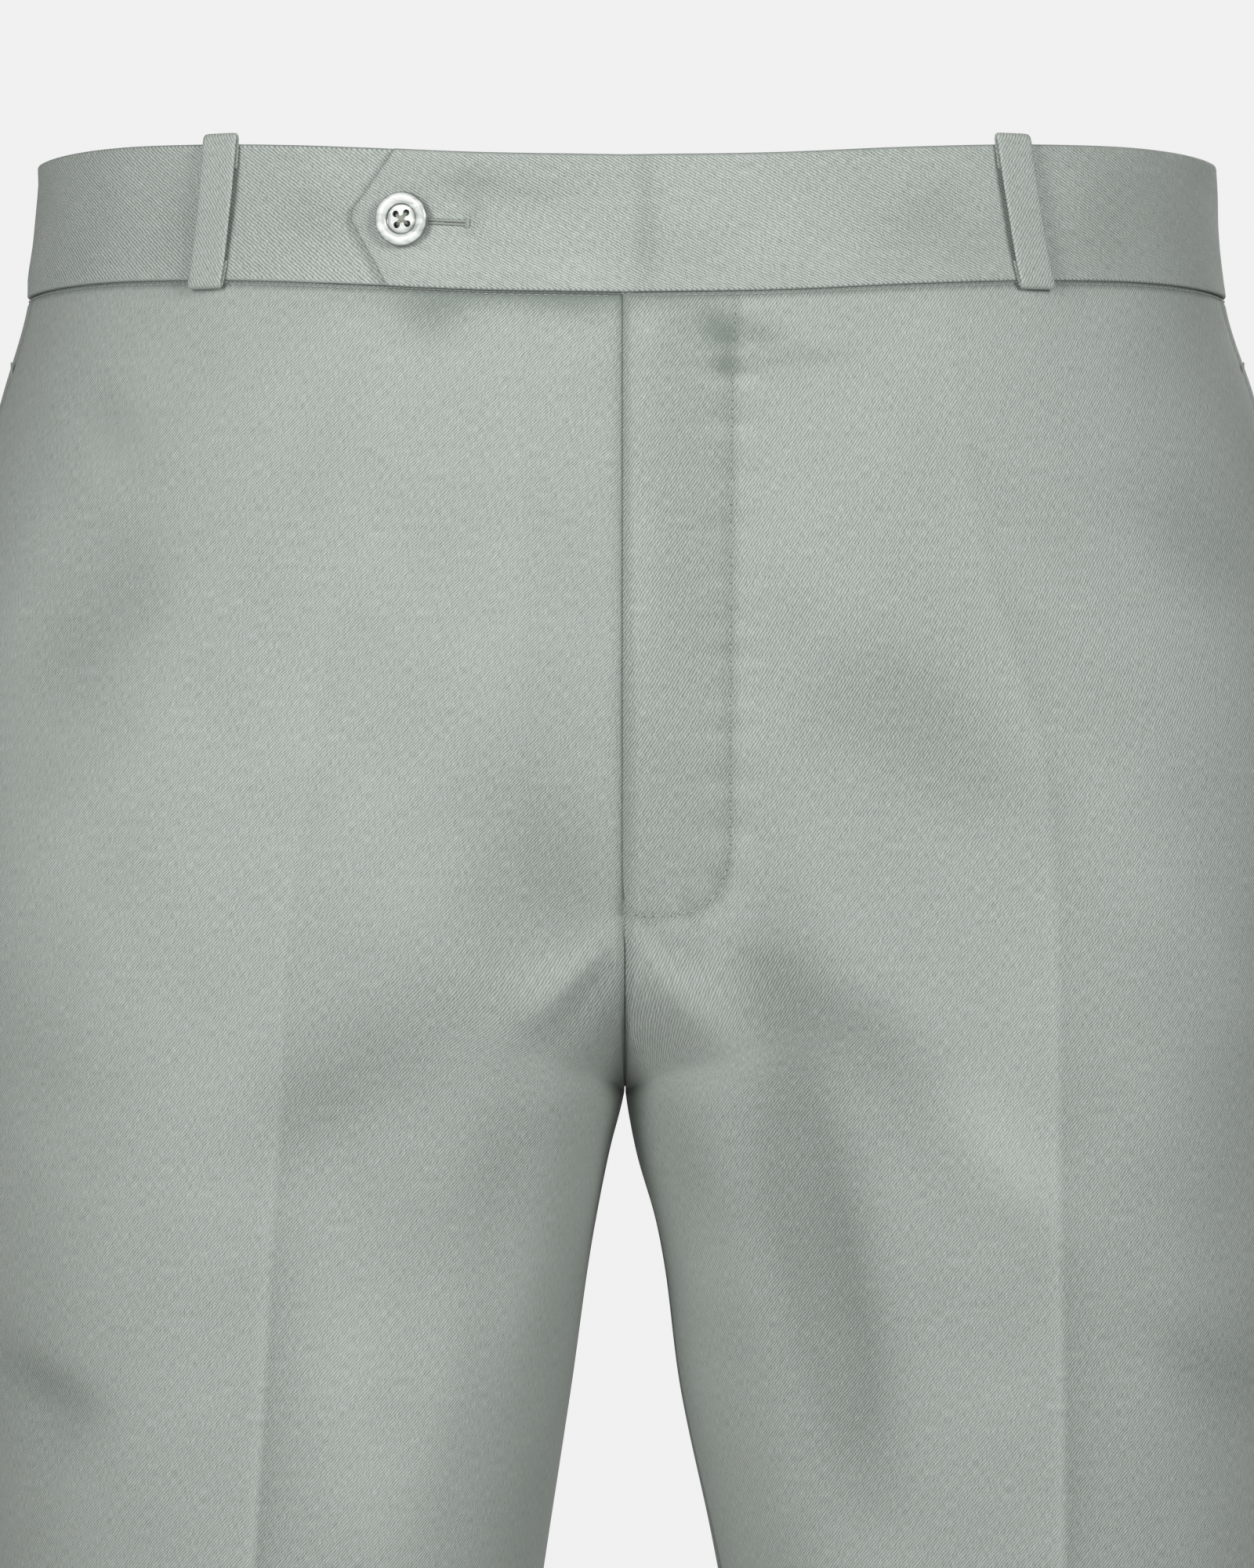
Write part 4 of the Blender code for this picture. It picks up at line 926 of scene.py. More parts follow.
def finish_band(side, outer, inner, roll, cloth):
    for layer in (outer, inner):
        layer[:, 0, 0] = side * HALF_GAP
    round_way = -side * lengths(outer, 1)
    up = -np.broadcast_to(BAND_PARTS[:, None] * BAND_DEPTH, round_way.shape)
    # Painted shade and light in soft ovals over the band, and painted shade along its rolled edges.
    painted_shading = painted_spots(outer, BAND_PAINTED_SHADING) - BAND_EDGE_PAINTED_SHADE * ease(roll / ROLL)
    name = f"waistband_{NAMES[side]}"
    piece = shell(f"{name}_cloth", outer, inner, np.stack([round_way, up], -1), painted_shading)
    return dress(piece, cloth, "cloth", name)


def make_band_right(cloth):
    back = np.linspace(math.pi, angle_at(RIGHT, UNDER_END, 0.0), BAND_SPANS)
    front = angle_at(RIGHT, np.linspace(UNDER_START, BAND_END, 40), 0.0)
    angle = np.concatenate([back, front])
    shown = np.arange(len(angle)) < len(back)
    proud = np.where(shown, BAND_PROUD, UNDER_TAB)
    outer = band_rows(RIGHT, angle, proud)
    folded = (True, True, False, False)
    roll = edge_roll(outer, ROLL, folded)
    outer = band_rows(RIGHT, angle, proud - roll + band_swell(outer) * shown)
    inner = band_rows(RIGHT, angle, proud - BAND_WALL + edge_roll(outer, ROLL, folded))
    return finish_band(RIGHT, outer, inner, roll, cloth)


def make_band_left(cloth):
    """The left band, whose tab runs on over the right one and ends in a point half way down."""
    back = np.linspace(math.pi, angle_at(LEFT, BEND_WIDTH, 0.0), BAND_SPANS)
    angle = np.concatenate([back, angle_at(LEFT, np.linspace(0.028, 0.0005, 18), 0.0)])
    across = body_point(LEFT, angle, np.zeros_like(angle))[0]
    ahead = angle < math.pi / 2
    near = np.where(ahead, 1 - ease(np.abs(across) / BEND_WIDTH), 0.0)
    step = -BEND_STEP * bell(across - 0.0060, 0.0022) * ahead
    proud = mix(BAND_PROUD, TAB_PROUD, near)
    cut = len(angle)
    thick = np.where(np.arange(cut) < cut - 1, BAND_WALL + near * BEND_THICKER, TAB_WALL)
    columns = np.concatenate([np.linspace(0.02, 0.96, 60), (0.975, 0.987, 0.995, 1.0)])
    end = mix(TAB_SHOULDER, TAB_TIP, 1 - np.abs(2 * BAND_PARTS - 1))
    tab_angle = angle_at(RIGHT, end[:, None] * columns[None], 0.0)

    def grid(extra_band, extra_tab):
        band = band_rows(LEFT, angle, extra_band)
        return np.concatenate([band, band_rows(RIGHT, tab_angle, extra_tab)], 1)

    plain = grid(proud, TAB_PROUD)
    roll = edge_roll(plain, ROLL, (True, True, False, True))
    calm = np.where(np.arange(plain.shape[1]) < cut, 1.0, 0.5)
    raised = -roll + band_swell(plain) * calm
    outer = grid(proud + step + raised[:, :cut], TAB_PROUD + raised[:, cut:])
    inner = grid(proud - thick + roll[:, :cut], TAB_PROUD - TAB_WALL + roll[:, cut:] * 0.3)
    return finish_band(LEFT, outer, inner, roll, cloth)


def loop_path():
    """(out from the band's face, height, 1 where it counts from the band's bottom) down a loop."""
    tucked = 0.0003 + LOOP_WALL / 2
    front = tucked + LOOP_WALL + 0.00035
    middle = (tucked + front) / 2
    top = LOOP_ABOVE - LOOP_WALL / 2
    foot = LOOP_WALL / 2 - LOOP_BELOW
    upper = ((tucked, top - 0.0016, 0), (tucked + 0.0002, top - 0.0007, 0), (middle, top, 0))
    upper += ((front - 0.0002, top - 0.0007, 0), (front, top - 0.0016, 0))
    face = ((front + 0.0004, -0.0100, 0), (front + 0.0005, 0.0180, 1), (front + 0.0001, 0.0050, 1))
    lower = ((front, foot + 0.0016, 1), (front - 0.0002, foot + 0.0007, 1), (middle, foot, 1))
    lower += ((tucked + 0.0002, foot + 0.0007, 1), (tucked, foot + 0.0016, 1))
    return ((tucked, -0.0070, 0), *upper, *face, *lower, (tucked, 0.0055, 1))


def resample(path, count):
    """Points evenly spaced on a line through path."""
    path = np.array(path, float)
    gone = lengths(path)
    at = np.linspace(0.0, gone[-1], count)
    return np.stack([np.interp(at, gone, line) for line in path.T], -1)


def make_loop(name, side, distance, lean, cloth):
    """A folded strip with rounded edges and a slight crown, just clear of the band."""
    angle = np.array(float(angle_round(side, distance, -BAND_DEPTH / 2)))
    rise = float(band_rise(angle))
    outward = band_outward(side, angle, np.array(rise - BAND_DEPTH / 2))
    sideways = np.array((-outward[1], outward[0]))
    sideways *= np.sign(sideways @ (side, 0.0)) or 1.0
    path = [(out + BAND_PROUD, rise + up - BAND_DEPTH * low) for out, up, low in loop_path()]
    path = resample(path, LOOP_STEPS)
    way = np.gradient(path, axis=0)
    across = np.stack([way[:, 1], -way[:, 0]], -1)
    across *= -1 / np.linalg.norm(across, axis=1, keepdims=True)
    bulge = np.sqrt(np.clip(1 - np.abs(LOOP_EDGES) ** 8, 0.02, 1.0))
    layers = []
    for face in (1, -1):
        rows = []
        for (out, height), thick in zip(path, across):
            foot = np.array(body_point(side, angle, np.array(min(height, rise))))
            slide = lean * (0.5 - (height - rise + BAND_DEPTH) / BAND_DEPTH)
            row = []
            for edge, full in zip(LOOP_EDGES, bulge):
                away, up = (out, height) + thick * face * full * LOOP_WALL / 2
                flat = foot + away * outward + (slide + edge * LOOP_WIDTH / 2) * sideways
                row.append((*flat, up))
            rows.append(row)
        layers.append(np.array(rows))
    down = -np.linspace(0, LOOP_LENGTH, len(path))
    spread = np.stack(np.meshgrid(LOOP_EDGES * LOOP_WIDTH / 2, down), -1)
    return dress(shell(f"{name}_cloth", *layers, spread), cloth, "cloth", name)


def circle(radius, steps, turn=0.0):
    """Points (x, y) round a circle."""
    turns = [turn + 2 * math.pi * step / steps for step in range(steps)]
    return [(radius * math.cos(angle), radius * math.sin(angle)) for angle in turns]


def join_rings(mesh, rings):
    for ring, following in zip(rings, rings[1:]):
        for step, vertex in enumerate(ring):
            after = (step + 1) % len(ring)
            mesh.faces.new((vertex, ring[after], following[after], following[step]))


def tube_along(mesh, path, radius, sides=6):
    """Adds a closed tube along a short path to a bmesh."""
    path = [Vector(point) for point in path]
    rings = []
    for index, point in enumerate(path):
        way = (path[min(index + 1, len(path) - 1)] - path[max(index - 1, 0)]).normalized()
        first = way.orthogonal().normalized()
        second = way.cross(first)
        size = radius if 0 < index < len(path) - 1 else radius * 0.45
        ring = [mesh.verts.new(point + x * first + y * second) for x, y in circle(size, sides)]
        rings.append(ring)
    join_rings(mesh, rings)
    mesh.faces.new(rings[0][::-1])
    mesh.faces.new(rings[-1])


def mesh_piece(name, mesh, material, slot, *nodes):
    bmesh.ops.recalc_face_normals(mesh, faces=mesh.faces)
    data = bpy.data.meshes.new(name)
    mesh.to_mesh(data)
    mesh.free()
    data.shade_smooth()
    return dress(link(name, data), material, slot, *nodes)


def arch(near, far, out, *steps):
    """A thread's path from near to far, in steps of part of the way and lift out of the cloth."""
    return [mix(near, far, part) + out * lift for part, lift in steps]


def stitch_row(mesh, points, out, radius=THREAD, share=0.66):
    """Running stitches along points a stitch apart, each bowed a little out of the cloth."""
    bow = [(part, threads * radius) for part, threads in STITCH_BOW]
    for start, end, way in zip(points, points[1:], out):
        first, last = (mix(start, end, (1 + part * share) / 2) for part in (-1, 1))
        tube_along(mesh, arch(first, last, way, *bow), radius)


class Surface:
    """Finds the place on a grid of points, seen from the front, at a distance across and height."""

    def __init__(self, points):
        quads = quads_of(np.arange(points[..., 0].size).reshape(points.shape[:2]))
        corners = [Vector(point) for point in points.reshape(-1, 3)]
        self.tree = BVHTree.FromPolygons(corners, quads.tolist())

    def at(self, across, height):
        place, normal, _, _ = self.tree.ray_cast(Vector((across, -0.4, height)), Vector((0, 1, 0)))
        return np.array(place), np.array(-normal if normal.y > 0 else normal)


def make_fly_stitching(surface, thread, hole):
    """The curved row that holds the fly, with small dark discs between its stitches as painted
    shade in the needle pits.
    """
    line = resample(np.array(FLY_LINE) / 1000, 400)
    line = resample(line, int(lengths(line)[-1] / STITCH) + 1)
    found = [surface.at(*point) for point in line]
    mesh = bmesh.new()
    stitch_row(mesh, *(np.array(part) for part in zip(*found)))
    mesh_piece("fly_stitching", mesh, thread, "cloth")
    mesh = bmesh.new()
    for place, normal in found[1:-1]:
        add_pit(mesh, place + normal * 0.00004, normal, 0.00022)
    mesh_piece("fly_stitch_pits", mesh, hole, "cloth_inside")


# A small dark disc: painted shade in a needle pit.
def add_pit(mesh, place, normal, radius):
    turn = Vector(normal).to_track_quat("Z", "Y").to_matrix()
    ring = [Vector(place) + turn @ Vector((x, y, 0)) for x, y in circle(radius, 7)]
    mesh.faces.new([mesh.verts.new(point) for point in ring])


def make_waist_stitching(thread):
    """The row just under the waistband, in the seam."""
    mesh = bmesh.new()
    for side in (RIGHT, LEFT):
        angle = angle_round(side, np.arange(0.004, 0.470, STITCH), PANEL_TOP)
        height = band_rise(angle) - BAND_DEPTH - 0.0009
        points = band_point(side, angle, height, np.full_like(angle, 0.00002))
        flat = band_outward(side, angle, height)
        away = np.concatenate([flat, np.zeros((len(angle), 1))], -1)
        across = np.abs(points[:, 0])
        near = np.where(across < FLY_WIDTH, side == LEFT, 0) * (away[:, 1] < 0)
        rise = FLY_RISE * (1 - ease((across - FLY_FLAT) / (FLY_WIDTH - FLY_FLAT))) * near
        points = points + (rise - 0.00025)[:, None] * away
        stitch_row(mesh, points, away, radius=0.00014, share=0.6)
    mesh_piece("waist_stitching", mesh, thread, "cloth")


def cut_hole(piece, place):
    """Cuts one thread hole through the button, and leaves the cut mesh in its place."""
    cutter = bmesh.new()
    wide = {"radius1": HOLE_RADIUS, "radius2": HOLE_RADIUS * 1.12, "depth": 0.006}
    bmesh.ops.create_cone(cutter, cap_ends=True, segments=20, **wide)
    cutter.transform(Matrix.Translation(place))
    data = bpy.data.meshes.new("cutter")
    cutter.to_mesh(data)
    cutter.free()
    tool = link("cutter", data)
    cut = piece.modifiers.new("hole", "BOOLEAN")
    cut.object = tool
    cut.solver = "EXACT"
    bpy.context.view_layer.update()
    graph = bpy.context.evaluated_depsgraph_get()
    whole = bpy.data.meshes.new_from_object(piece.evaluated_get(graph))
    piece.modifiers.clear()
    piece.data = whole
    bpy.data.objects.remove(tool, do_unlink=True)


def make_button(pearl, thread):
    """A turned disc with a raised rim and a sunk middle, sewn on through four holes."""
    mesh = bmesh.new()
    profile = np.array(BUTTON_PROFILE) / 1000
    ring = [mesh.verts.new((radius, 0.0, height)) for radius, height in profile]
    edges = [mesh.edges.new(pair) for pair in zip(ring, ring[1:])]
    whole_turn = {"axis": (0, 0, 1), "cent": (0, 0, 0), "angle": 2 * math.pi}
    bmesh.ops.spin(mesh, geom=ring + edges, steps=BUTTON_STEPS, **whole_turn)
    bmesh.ops.remove_doubles(mesh, verts=mesh.verts, dist=0.000005)
    piece = mesh_piece("button_pearl", mesh, pearl, "button_pearl", "button")
    place, out = tab_place(BUTTON_ACROSS, BUTTON_HEIGHT, BUTTON_LIFT)
    turn = Vector(out).to_track_quat("Z", "Y").to_matrix().to_4x4()
    turn = Matrix.Translation(place) @ turn
    holes = [Vector((x, y, 0.0)) for x, y in circle(HOLE_RING, 4, math.pi / 4 + HOLE_TURN)]
    for hole in holes:
        cut_hole(piece, hole)
    piece.data.name = "button_pearl"
    piece.data.shade_smooth()
    piece.data.set_sharp_from_angle(angle=math.radians(35))
    radius = np.array([vertex.co.xy.length for vertex in piece.data.vertices])
    height = np.array([vertex.co.z for vertex in piece.data.vertices])
    # Painted shade on the button: its outer edge, a ring at the recess's wall and the recess floor
    # are darker.
    painted_shading = -0.50 * ease((radius - 0.0071) / 0.0004) - 0.62 * bell(radius - 0.00415, 0.00022)
    painted_shading -= 0.7 * (height < 0.0009) * (radius < 0.0060)
    add_painted_shading(piece.data, painted_shading)
    piece.data.transform(turn)
    mesh = bmesh.new()
    rise = ((0.08, 0.0015), (0.2, 0.00195), (0.5, 0.00215), (0.8, 0.00195), (0.92, 0.0015))
    up = Vector((0, 0, 1))
    for first, last in ((holes[0], holes[2]), (holes[1], holes[3])):
        for shift in (-0.00028, 0.0, 0.00028):
            side = (last - first).cross(up).normalized() * shift
            path = arch(first + side, last + side, up, (0.0, 0.0006), *rise, (1.0, 0.0006))
            tube_along(mesh, path, 0.00017)
    for x, y in circle(0.0011, 10):
        tube_along(mesh, [(x, y, height) for height in (-0.0009, 0.0, 0.0007)], 0.00022)
    mesh.transform(turn)
    mesh_piece("button_thread", mesh, thread, "cloth")


def tab_place(across, height, lift=0.0):
    """(place, outward direction) on the tab's face."""
    angle = angle_at(RIGHT, abs(across), 0.0)
    height = np.array(height)
    out = np.array((*band_outward(RIGHT, angle, height), 0.0))
    return band_point(RIGHT, angle, height, np.array(TAB_PROUD + lift)), out


def slit_height(across):
    """The slit slants a little."""
    part = (across - SLIT_SLANT_START) / (SLIT_END - SLIT_SLANT_START)
    return SLIT_HEIGHT - SLIT_SLANT * part


def make_buttonhole(thread, hole):
    """Close stitches along both lips of the slit, and a bar across its end."""
    mesh = bmesh.new()
    for across in np.arange(SLIT_START, SLIT_END, CLOSE_STITCH):
        middle = slit_height(across)
        for lip in (-1, 1):
            near, out = tab_place(across, middle + lip * 0.00018)
            far, _ = tab_place(across, middle + lip * 0.00095)
            steps = ((0.0, -0.0001), (0.0, 0.00022), (0.5, 0.00026), (1.0, -0.00005))
            tube_along(mesh, arch(near, far, out, *steps), 0.00015, 5)
    for offset in np.arange(-0.0011, 0.0012, CLOSE_STITCH):
        height = SLIT_HEIGHT - SLIT_SLANT + offset
        near, out = tab_place(SLIT_END - 0.0002, height)
        far, _ = tab_place(SLIT_END + 0.0012, height)
        steps = ((0.0, 0.0), (0.0, 0.0003), (0.5, 0.00036), (1.0, -0.00005))
        tube_along(mesh, arch(near, far, out, *steps), 0.00016, 5)
    mesh_piece("buttonhole_stitching", mesh, thread, "cloth")
    # A dark quad along the slit: painted shade in the cut.
    mesh = bmesh.new()
    ends = ((SLIT_START, 0.0002), (SLIT_END, 0.0002), (SLIT_END, -0.0002), (SLIT_START, -0.0002))
    corners = [tab_place(across, slit_height(across) + half, 0.00008)[0] for across, half in ends]
    mesh.faces.new([mesh.verts.new(place) for place in corners])
    mesh_piece("buttonhole_slit", mesh, hole, "cloth_inside")


def make_bar_tacks(sides, thread):
    """Short bars of close stitching at the ends of the pocket slits."""
    mesh = bmesh.new()
    for _, points, out, seam in sides:
        for height in (-0.0560, -0.2150):
            row = int(np.argmin(np.abs(points[:, seam, 2] - height)))
            across = points[row, seam - 1] - points[row, seam]
            across *= 0.0010 / np.linalg.norm(across)
            for step in np.arange(-0.0022, 0.0023, 0.0003):
                centre = points[row, seam] + np.array((0.0, 0.0, step))
                steps = ((0.0, -0.0001), (0.2, 0.00025), (0.8, 0.00025), (1.0, -0.0001))
                path = arch(centre - across, centre + across, out[row, seam], *steps)
                tube_along(mesh, path, 0.00018, 5)
    mesh_piece("pocket_bar_tacks", mesh, thread, "cloth")


def make_zip_teeth(metal):
    """Two rows of moulded teeth along the closed zip, each with a broad foot and a round nose."""
    outline = np.array((*TOOTH, *[(x, -z) for x, z in TOOTH[::-1]])) / 1000
    mesh = bmesh.new()
    for index, height in enumerate(np.arange(ZIP_TOP, ZIP_BOTTOM, -ZIP_PITCH)):
        facing = 1 if index % 2 else -1
        middle = ZIP_MIDDLE - facing * 0.0006
        angle = angle_at(LEFT, middle, height)
        deep = float(body_point(LEFT, angle, np.array(height))[1]) + ZIP_DEPTH
        rings = []
        for size, back in TOOTH_RINGS:
            places = [(middle + facing * x, deep + back, height + z) for x, z in outline * size]
            rings.append([mesh.verts.new(place) for place in places])
        join_rings(mesh, rings)
        mesh.faces.new(rings[-1])
    mesh_piece("zip_teeth", mesh, metal, "zip_tape")


# Materials


def set_inputs(node, **values):
    """Sets a node's inputs, whose names have _ for a space here."""
    for name, value in values.items():
        node.inputs[name.replace("_", " ")].default_value = value
    return node


def add_node(tree, kind, source=None, **values):
    """Adds a node, with source linked to its vector."""
    node = set_inputs(tree.nodes.new(f"ShaderNode{kind}"), **values)
    if source is not None:
        tree.links.new(source, node.inputs["Vector"])
    return node


def new_material(name):
    material = bpy.data.materials.new(name)
    material.use_nodes = True
    return material, material.node_tree, material.node_tree.nodes["Principled BSDF"]


def noise(tree, source, **values):
    return add_node(tree, "TexNoise", source, **values).outputs["Fac"]


def object_place(tree):
    return add_node(tree, "TexCoord").outputs["Object"]


def maths(tree, operation, *values):
    node = tree.nodes.new("ShaderNodeMath")
    node.operation = operation
    for index, value in enumerate(values):
        if isinstance(value, bpy.types.NodeSocket):
            tree.links.new(value, node.inputs[index])
        else:
            node.inputs[index].default_value = value
    return node.outputs[0]


def with_painted_shading(tree, value):
    """Adds the painted shade and painted light stored on the mesh's points to a value."""
    painted_shading_node = tree.nodes.new("ShaderNodeAttribute")
    painted_shading_node.attribute_name = "painted_shading"
    return maths(tree, "ADD", value, painted_shading_node.outputs["Fac"])


def colour_by(tree, factor, shader, *stops):
    """Colours the shader by a factor, through stops of position and colour."""
    ramp = tree.nodes.new("ShaderNodeValToRGB")
    for position, _ in stops[1:-1]:
        ramp.color_ramp.elements.new(position)
    for element, (position, colour) in zip(ramp.color_ramp.elements, stops):
        element.position = position
        element.color = (*colour, 1.0)
    tree.links.new(factor, ramp.inputs["Fac"])
    tree.links.new(ramp.outputs["Color"], shader.inputs["Base Color"])


def twill(name, light, dark, degrees, pitch=0.00088, flat=False, contrast=1.0):
    """Fine twill: raised diagonal floats, uneven yarns and faint clouds, at the lines' angle."""
    material, tree, shader = new_material(name)
    place = add_node(tree, "TexCoord" if flat else "UVMap")
    if not flat:
        place.uv_map = "cloth"
    source = place.outputs["Object" if flat else "UV"]
    apart = add_node(tree, "SeparateXYZ", source)
    across = apart.outputs["X"]
    up = apart.outputs["Z" if flat else "Y"]
    slope = math.radians(degrees)
    waver = noise(tree, source, Scale=620.0, Detail=2.0)
    ribs = maths(tree, "MULTIPLY", across, -math.sin(slope) / pitch)
    ribs = maths(tree, "MULTIPLY_ADD", up, math.cos(slope) / pitch, ribs)
    ribs = maths(tree, "MULTIPLY_ADD", waver, 0.95, ribs)
    floats = maths(tree, "MULTIPLY", across, math.cos(slope) / (pitch * 0.8))
    floats = maths(tree, "MULTIPLY_ADD", up, math.sin(slope) / (pitch * 0.8), floats)
    ribs, floats = (
        maths(tree, "SINE", maths(tree, "MULTIPLY", turns, 2 * math.pi)) for turns in (ribs, floats)
    )
    body = maths(tree, "MULTIPLY_ADD", ribs, 0.5, 0.5)
    body = maths(tree, "MULTIPLY_ADD", floats, 0.10, body)
    drawn = (2600.0, 2600.0, 420.0) if flat else (2600.0, 420.0, 1.0)
    yarn_place = add_node(tree, "Mapping", source, Scale=drawn).outputs[0]
    yarn = noise(tree, yarn_place, Scale=1.0, Detail=2.0)
    cloud = noise(tree, source, Scale=26.0, Detail=4.0)
    shade = maths(tree, "MULTIPLY_ADD", body, 0.56 * contrast, 0.49 - 0.28 * contrast)
    shade = maths(tree, "ADD", shade, maths(tree, "MULTIPLY_ADD", yarn, 0.90, -0.45))
    shade = maths(tree, "ADD", shade, maths(tree, "MULTIPLY_ADD", cloud, 0.20, -0.10))
    # The cloth's painted shade and painted highlights, from the mesh, darken or lighten it.
    if not flat:
        shade = with_painted_shading(tree, shade)
    colour_by(tree, shade, shader, (0.0, dark), (1.0, light))
    tree.links.new(maths(tree, "MULTIPLY_ADD", body, -0.12, 0.72), shader.inputs["Roughness"])
    bump = set_inputs(tree.nodes.new("ShaderNodeBump"), Strength=0.35, Distance=0.00020)
    tree.links.new(maths(tree, "MULTIPLY_ADD", yarn, 0.5, body), bump.inputs["Height"])
    tree.links.new(bump.outputs["Normal"], shader.inputs["Normal"])
    set_inputs(shader, Specular_IOR_Level=0.35, Sheen_Weight=0.12, Sheen_Roughness=0.45)
    return material


def thread_material(name, colour):
    """Twisted thread with a soft sheen."""
    material, tree, shader = new_material(name)
    dark, light = ([min(value * share, 1.0) for value in colour] for share in (0.72, 1.12))
    twist = noise(tree, object_place(tree), Scale=5200.0)
    colour_by(tree, twist, shader, (0.3, dark), (0.7, light))
    set_inputs(shader, Roughness=0.55, Sheen_Weight=0.2)
    return material


def pit_material():
    """The shaded bottom of a needle hole or slit."""
    material, tree, shader = new_material("shaded_pit")
    shades = ((0.0, (0.110, 0.124, 0.112)), (1.0, (0.18, 0.20, 0.182)))
    colour_by(tree, noise(tree, object_place(tree), Scale=900.0), shader, *shades)
    set_inputs(shader, Roughness=0.95, Specular_IOR_Level=0.05)
    return material


def pearl_material():
    """Clouded pearly resin under a clear polish."""
    material, tree, shader = new_material("pearl")
    drawn = {"Rotation": (0.0, 0.9, 0.0), "Scale": (1.0, 1.0, 3.2)}
    stretch = add_node(tree, "Mapping", object_place(tree), **drawn).outputs[0]
    clouds = noise(tree, stretch, Scale=90.0, Detail=4.0, Distortion=1.2)
    shades = ((0.05, (0.16, 0.18, 0.16)), (0.36, (0.50, 0.53, 0.50)), (0.60, (0.84, 0.87, 0.84)))
    # The painted shade on the rim and the recess, from the mesh, darkens the pearl.
    colour_by(tree, with_painted_shading(tree, clouds), shader, *shades)
    set_inputs(shader, Roughness=0.22, Coat_Weight=0.6, Coat_Roughness=0.08)
    return material


def metal_material():
    """Satin metal with fine rubbed scratches."""
    material, tree, shader = new_material("satin_metal")
    rubbed = noise(tree, object_place(tree), Scale=700.0)
    tree.links.new(maths(tree, "MULTIPLY_ADD", rubbed, 0.25, 0.22), shader.inputs["Roughness"])
    set_inputs(shader, Base_Color=(0.62, 0.62, 0.60, 1.0), Metallic=1.0)
    return material


def repaint(node, material):
    """A CAD node whose shape is right keeps it, and gets this material."""
    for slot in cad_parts[node].material_slots:
        slot.material = material


def floor_material():
    material, _, shader = new_material("pale_floor")
    set_inputs(shader, Base_Color=(0.80, 0.80, 0.79, 1.0), Roughness=0.9)
    return material


def backdrop_material():
    material, tree, shader = new_material("pale_backdrop")
    tree.nodes.remove(shader)
    glow = set_inputs(tree.nodes.new("ShaderNodeEmission"), Color=(0.876, 0.876, 0.876, 1.0))
    tree.links.new(glow.outputs[0], tree.nodes["Material Output"].inputs[0])
    return material


def plane(name, corners, material):
    data = bpy.data.meshes.new(name)
    data.from_pydata(corners, [], [(0, 1, 2, 3)])
    data.materials.append(material)
    link(name, data)


def area_light(name, place, target, size, power):
    data = bpy.data.lights.new(name, "AREA")
    data.shape = "RECTANGLE"
    data.size, data.size_y = size
    data.energy = power
    lamp = link(name, data)
    lamp.visible_camera = False
    lamp.location = place
    lamp.rotation_euler = (Vector(target) - Vector(place)).to_track_quat("-Z", "Y").to_euler()


def make_stage():
    """A pale floor, a pale card far behind, soft light from the front and a level camera."""
    low = -1.10
    plane("floor", [(-6, -6, low), (6, -6, low), (6, 6, low), (-6, 6, low)], floor_material())
    card = [(-1.6, 12, -2.2), (1.6, 12, -2.2), (1.6, 12, 1.8), (-1.6, 12, 1.8)]
    plane("backdrop", card, backdrop_material())
    world = bpy.data.worlds.new("studio")
    world.use_nodes = True
    set_inputs(world.node_tree.nodes["Background"], Color=(0.110, 0.111, 0.110, 1.0))
    bpy.context.scene.world = world
    for lamp in LAMPS:
        area_light(*lamp)
    bpy.context.scene.view_settings.view_transform = "Standard"
    data = bpy.data.cameras.new("camera")
    data.sensor_width = 36.0
    data.lens = data.sensor_width * 2.5 / 0.436
    camera = link("camera", data)
    camera.location = (0.0006, -2.62, -0.175)
    camera.rotation_euler = (math.pi / 2, 0.0, 0.0)
    bpy.context.scene.camera = camera


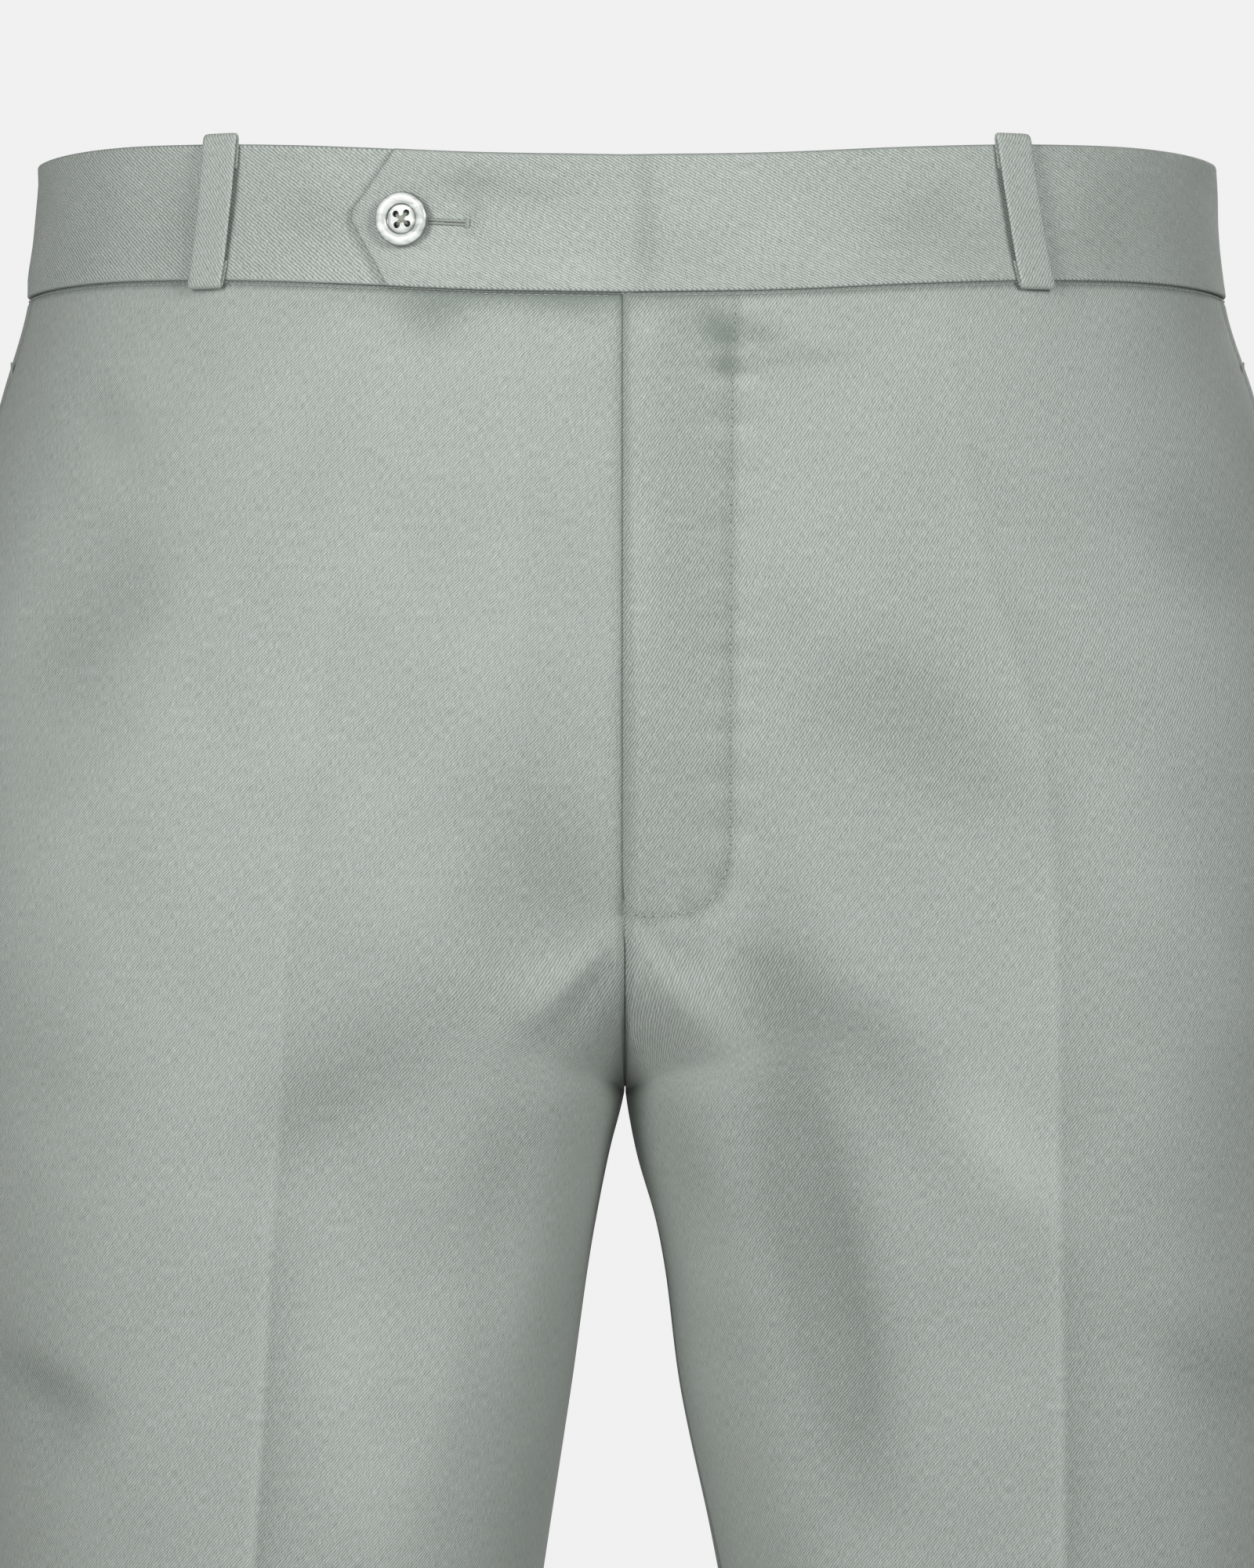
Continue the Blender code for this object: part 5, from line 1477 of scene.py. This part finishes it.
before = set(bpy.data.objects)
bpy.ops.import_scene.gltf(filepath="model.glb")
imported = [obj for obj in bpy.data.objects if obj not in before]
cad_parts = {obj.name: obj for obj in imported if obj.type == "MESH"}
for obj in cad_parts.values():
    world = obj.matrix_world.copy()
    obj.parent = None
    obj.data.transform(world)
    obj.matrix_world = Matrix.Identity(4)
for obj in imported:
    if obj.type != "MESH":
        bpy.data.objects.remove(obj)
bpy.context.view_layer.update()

WOOL = ((0.640, 0.682, 0.640), (0.215, 0.248, 0.222))
# The same wool, darker, as painted shade on the pieces inside the trousers.
INSIDE_WOOL = ((0.48, 0.515, 0.48), (0.21, 0.24, 0.215))
TAPE_YARN = ((0.46, 0.49, 0.46), (0.34, 0.37, 0.34))

leg_cloth = twill("twill_legs", *WOOL, 50, 0.00070)
band_cloth = twill("twill_band", *WOOL, -32, 0.00078, contrast=1.2)
loop_cloth = twill("twill_loops", *WOOL, 62)
inside_cloth = twill("twill_inside", *INSIDE_WOOL, 58)
tape = twill("zip_tape_weave", *TAPE_YARN, 75, 0.0008, flat=True)
thread = thread_material("sewing_thread", (0.47, 0.505, 0.47))
button_thread = thread_material("button_sewing_thread", (0.36, 0.40, 0.33))
pit = pit_material()
pearl = pearl_material()
metal = metal_material()

make_stage()
rows = fine_levels()
run = fine_runs()
seam = int(np.searchsorted(run, 2 - 1e-9))
sides = []
for side in (RIGHT, LEFT):
    points, out, painted_shading = side_surface(side, rows, run)
    sides.append((side, points, out, seam))
    make_facing(side, rows, points, out, seam, inside_cloth)
    front = make_panels(side, rows, run, points, out, painted_shading, seam, leg_cloth)
make_turnings(rows, sides, inside_cloth)
make_underlap(inside_cloth)
make_band_right(band_cloth)
make_band_left(band_cloth)
for loop in LOOPS:
    make_loop(*loop, loop_cloth)
# front is the left one, made last, which carries the fly.
make_fly_stitching(Surface(front), thread, pit)
make_waist_stitching(thread)
make_button(pearl, button_thread)
make_buttonhole(thread, pit)
make_bar_tacks(sides, thread)
make_zip_teeth(metal)
repaint("zip", tape)
repaint("zip_slider", metal)
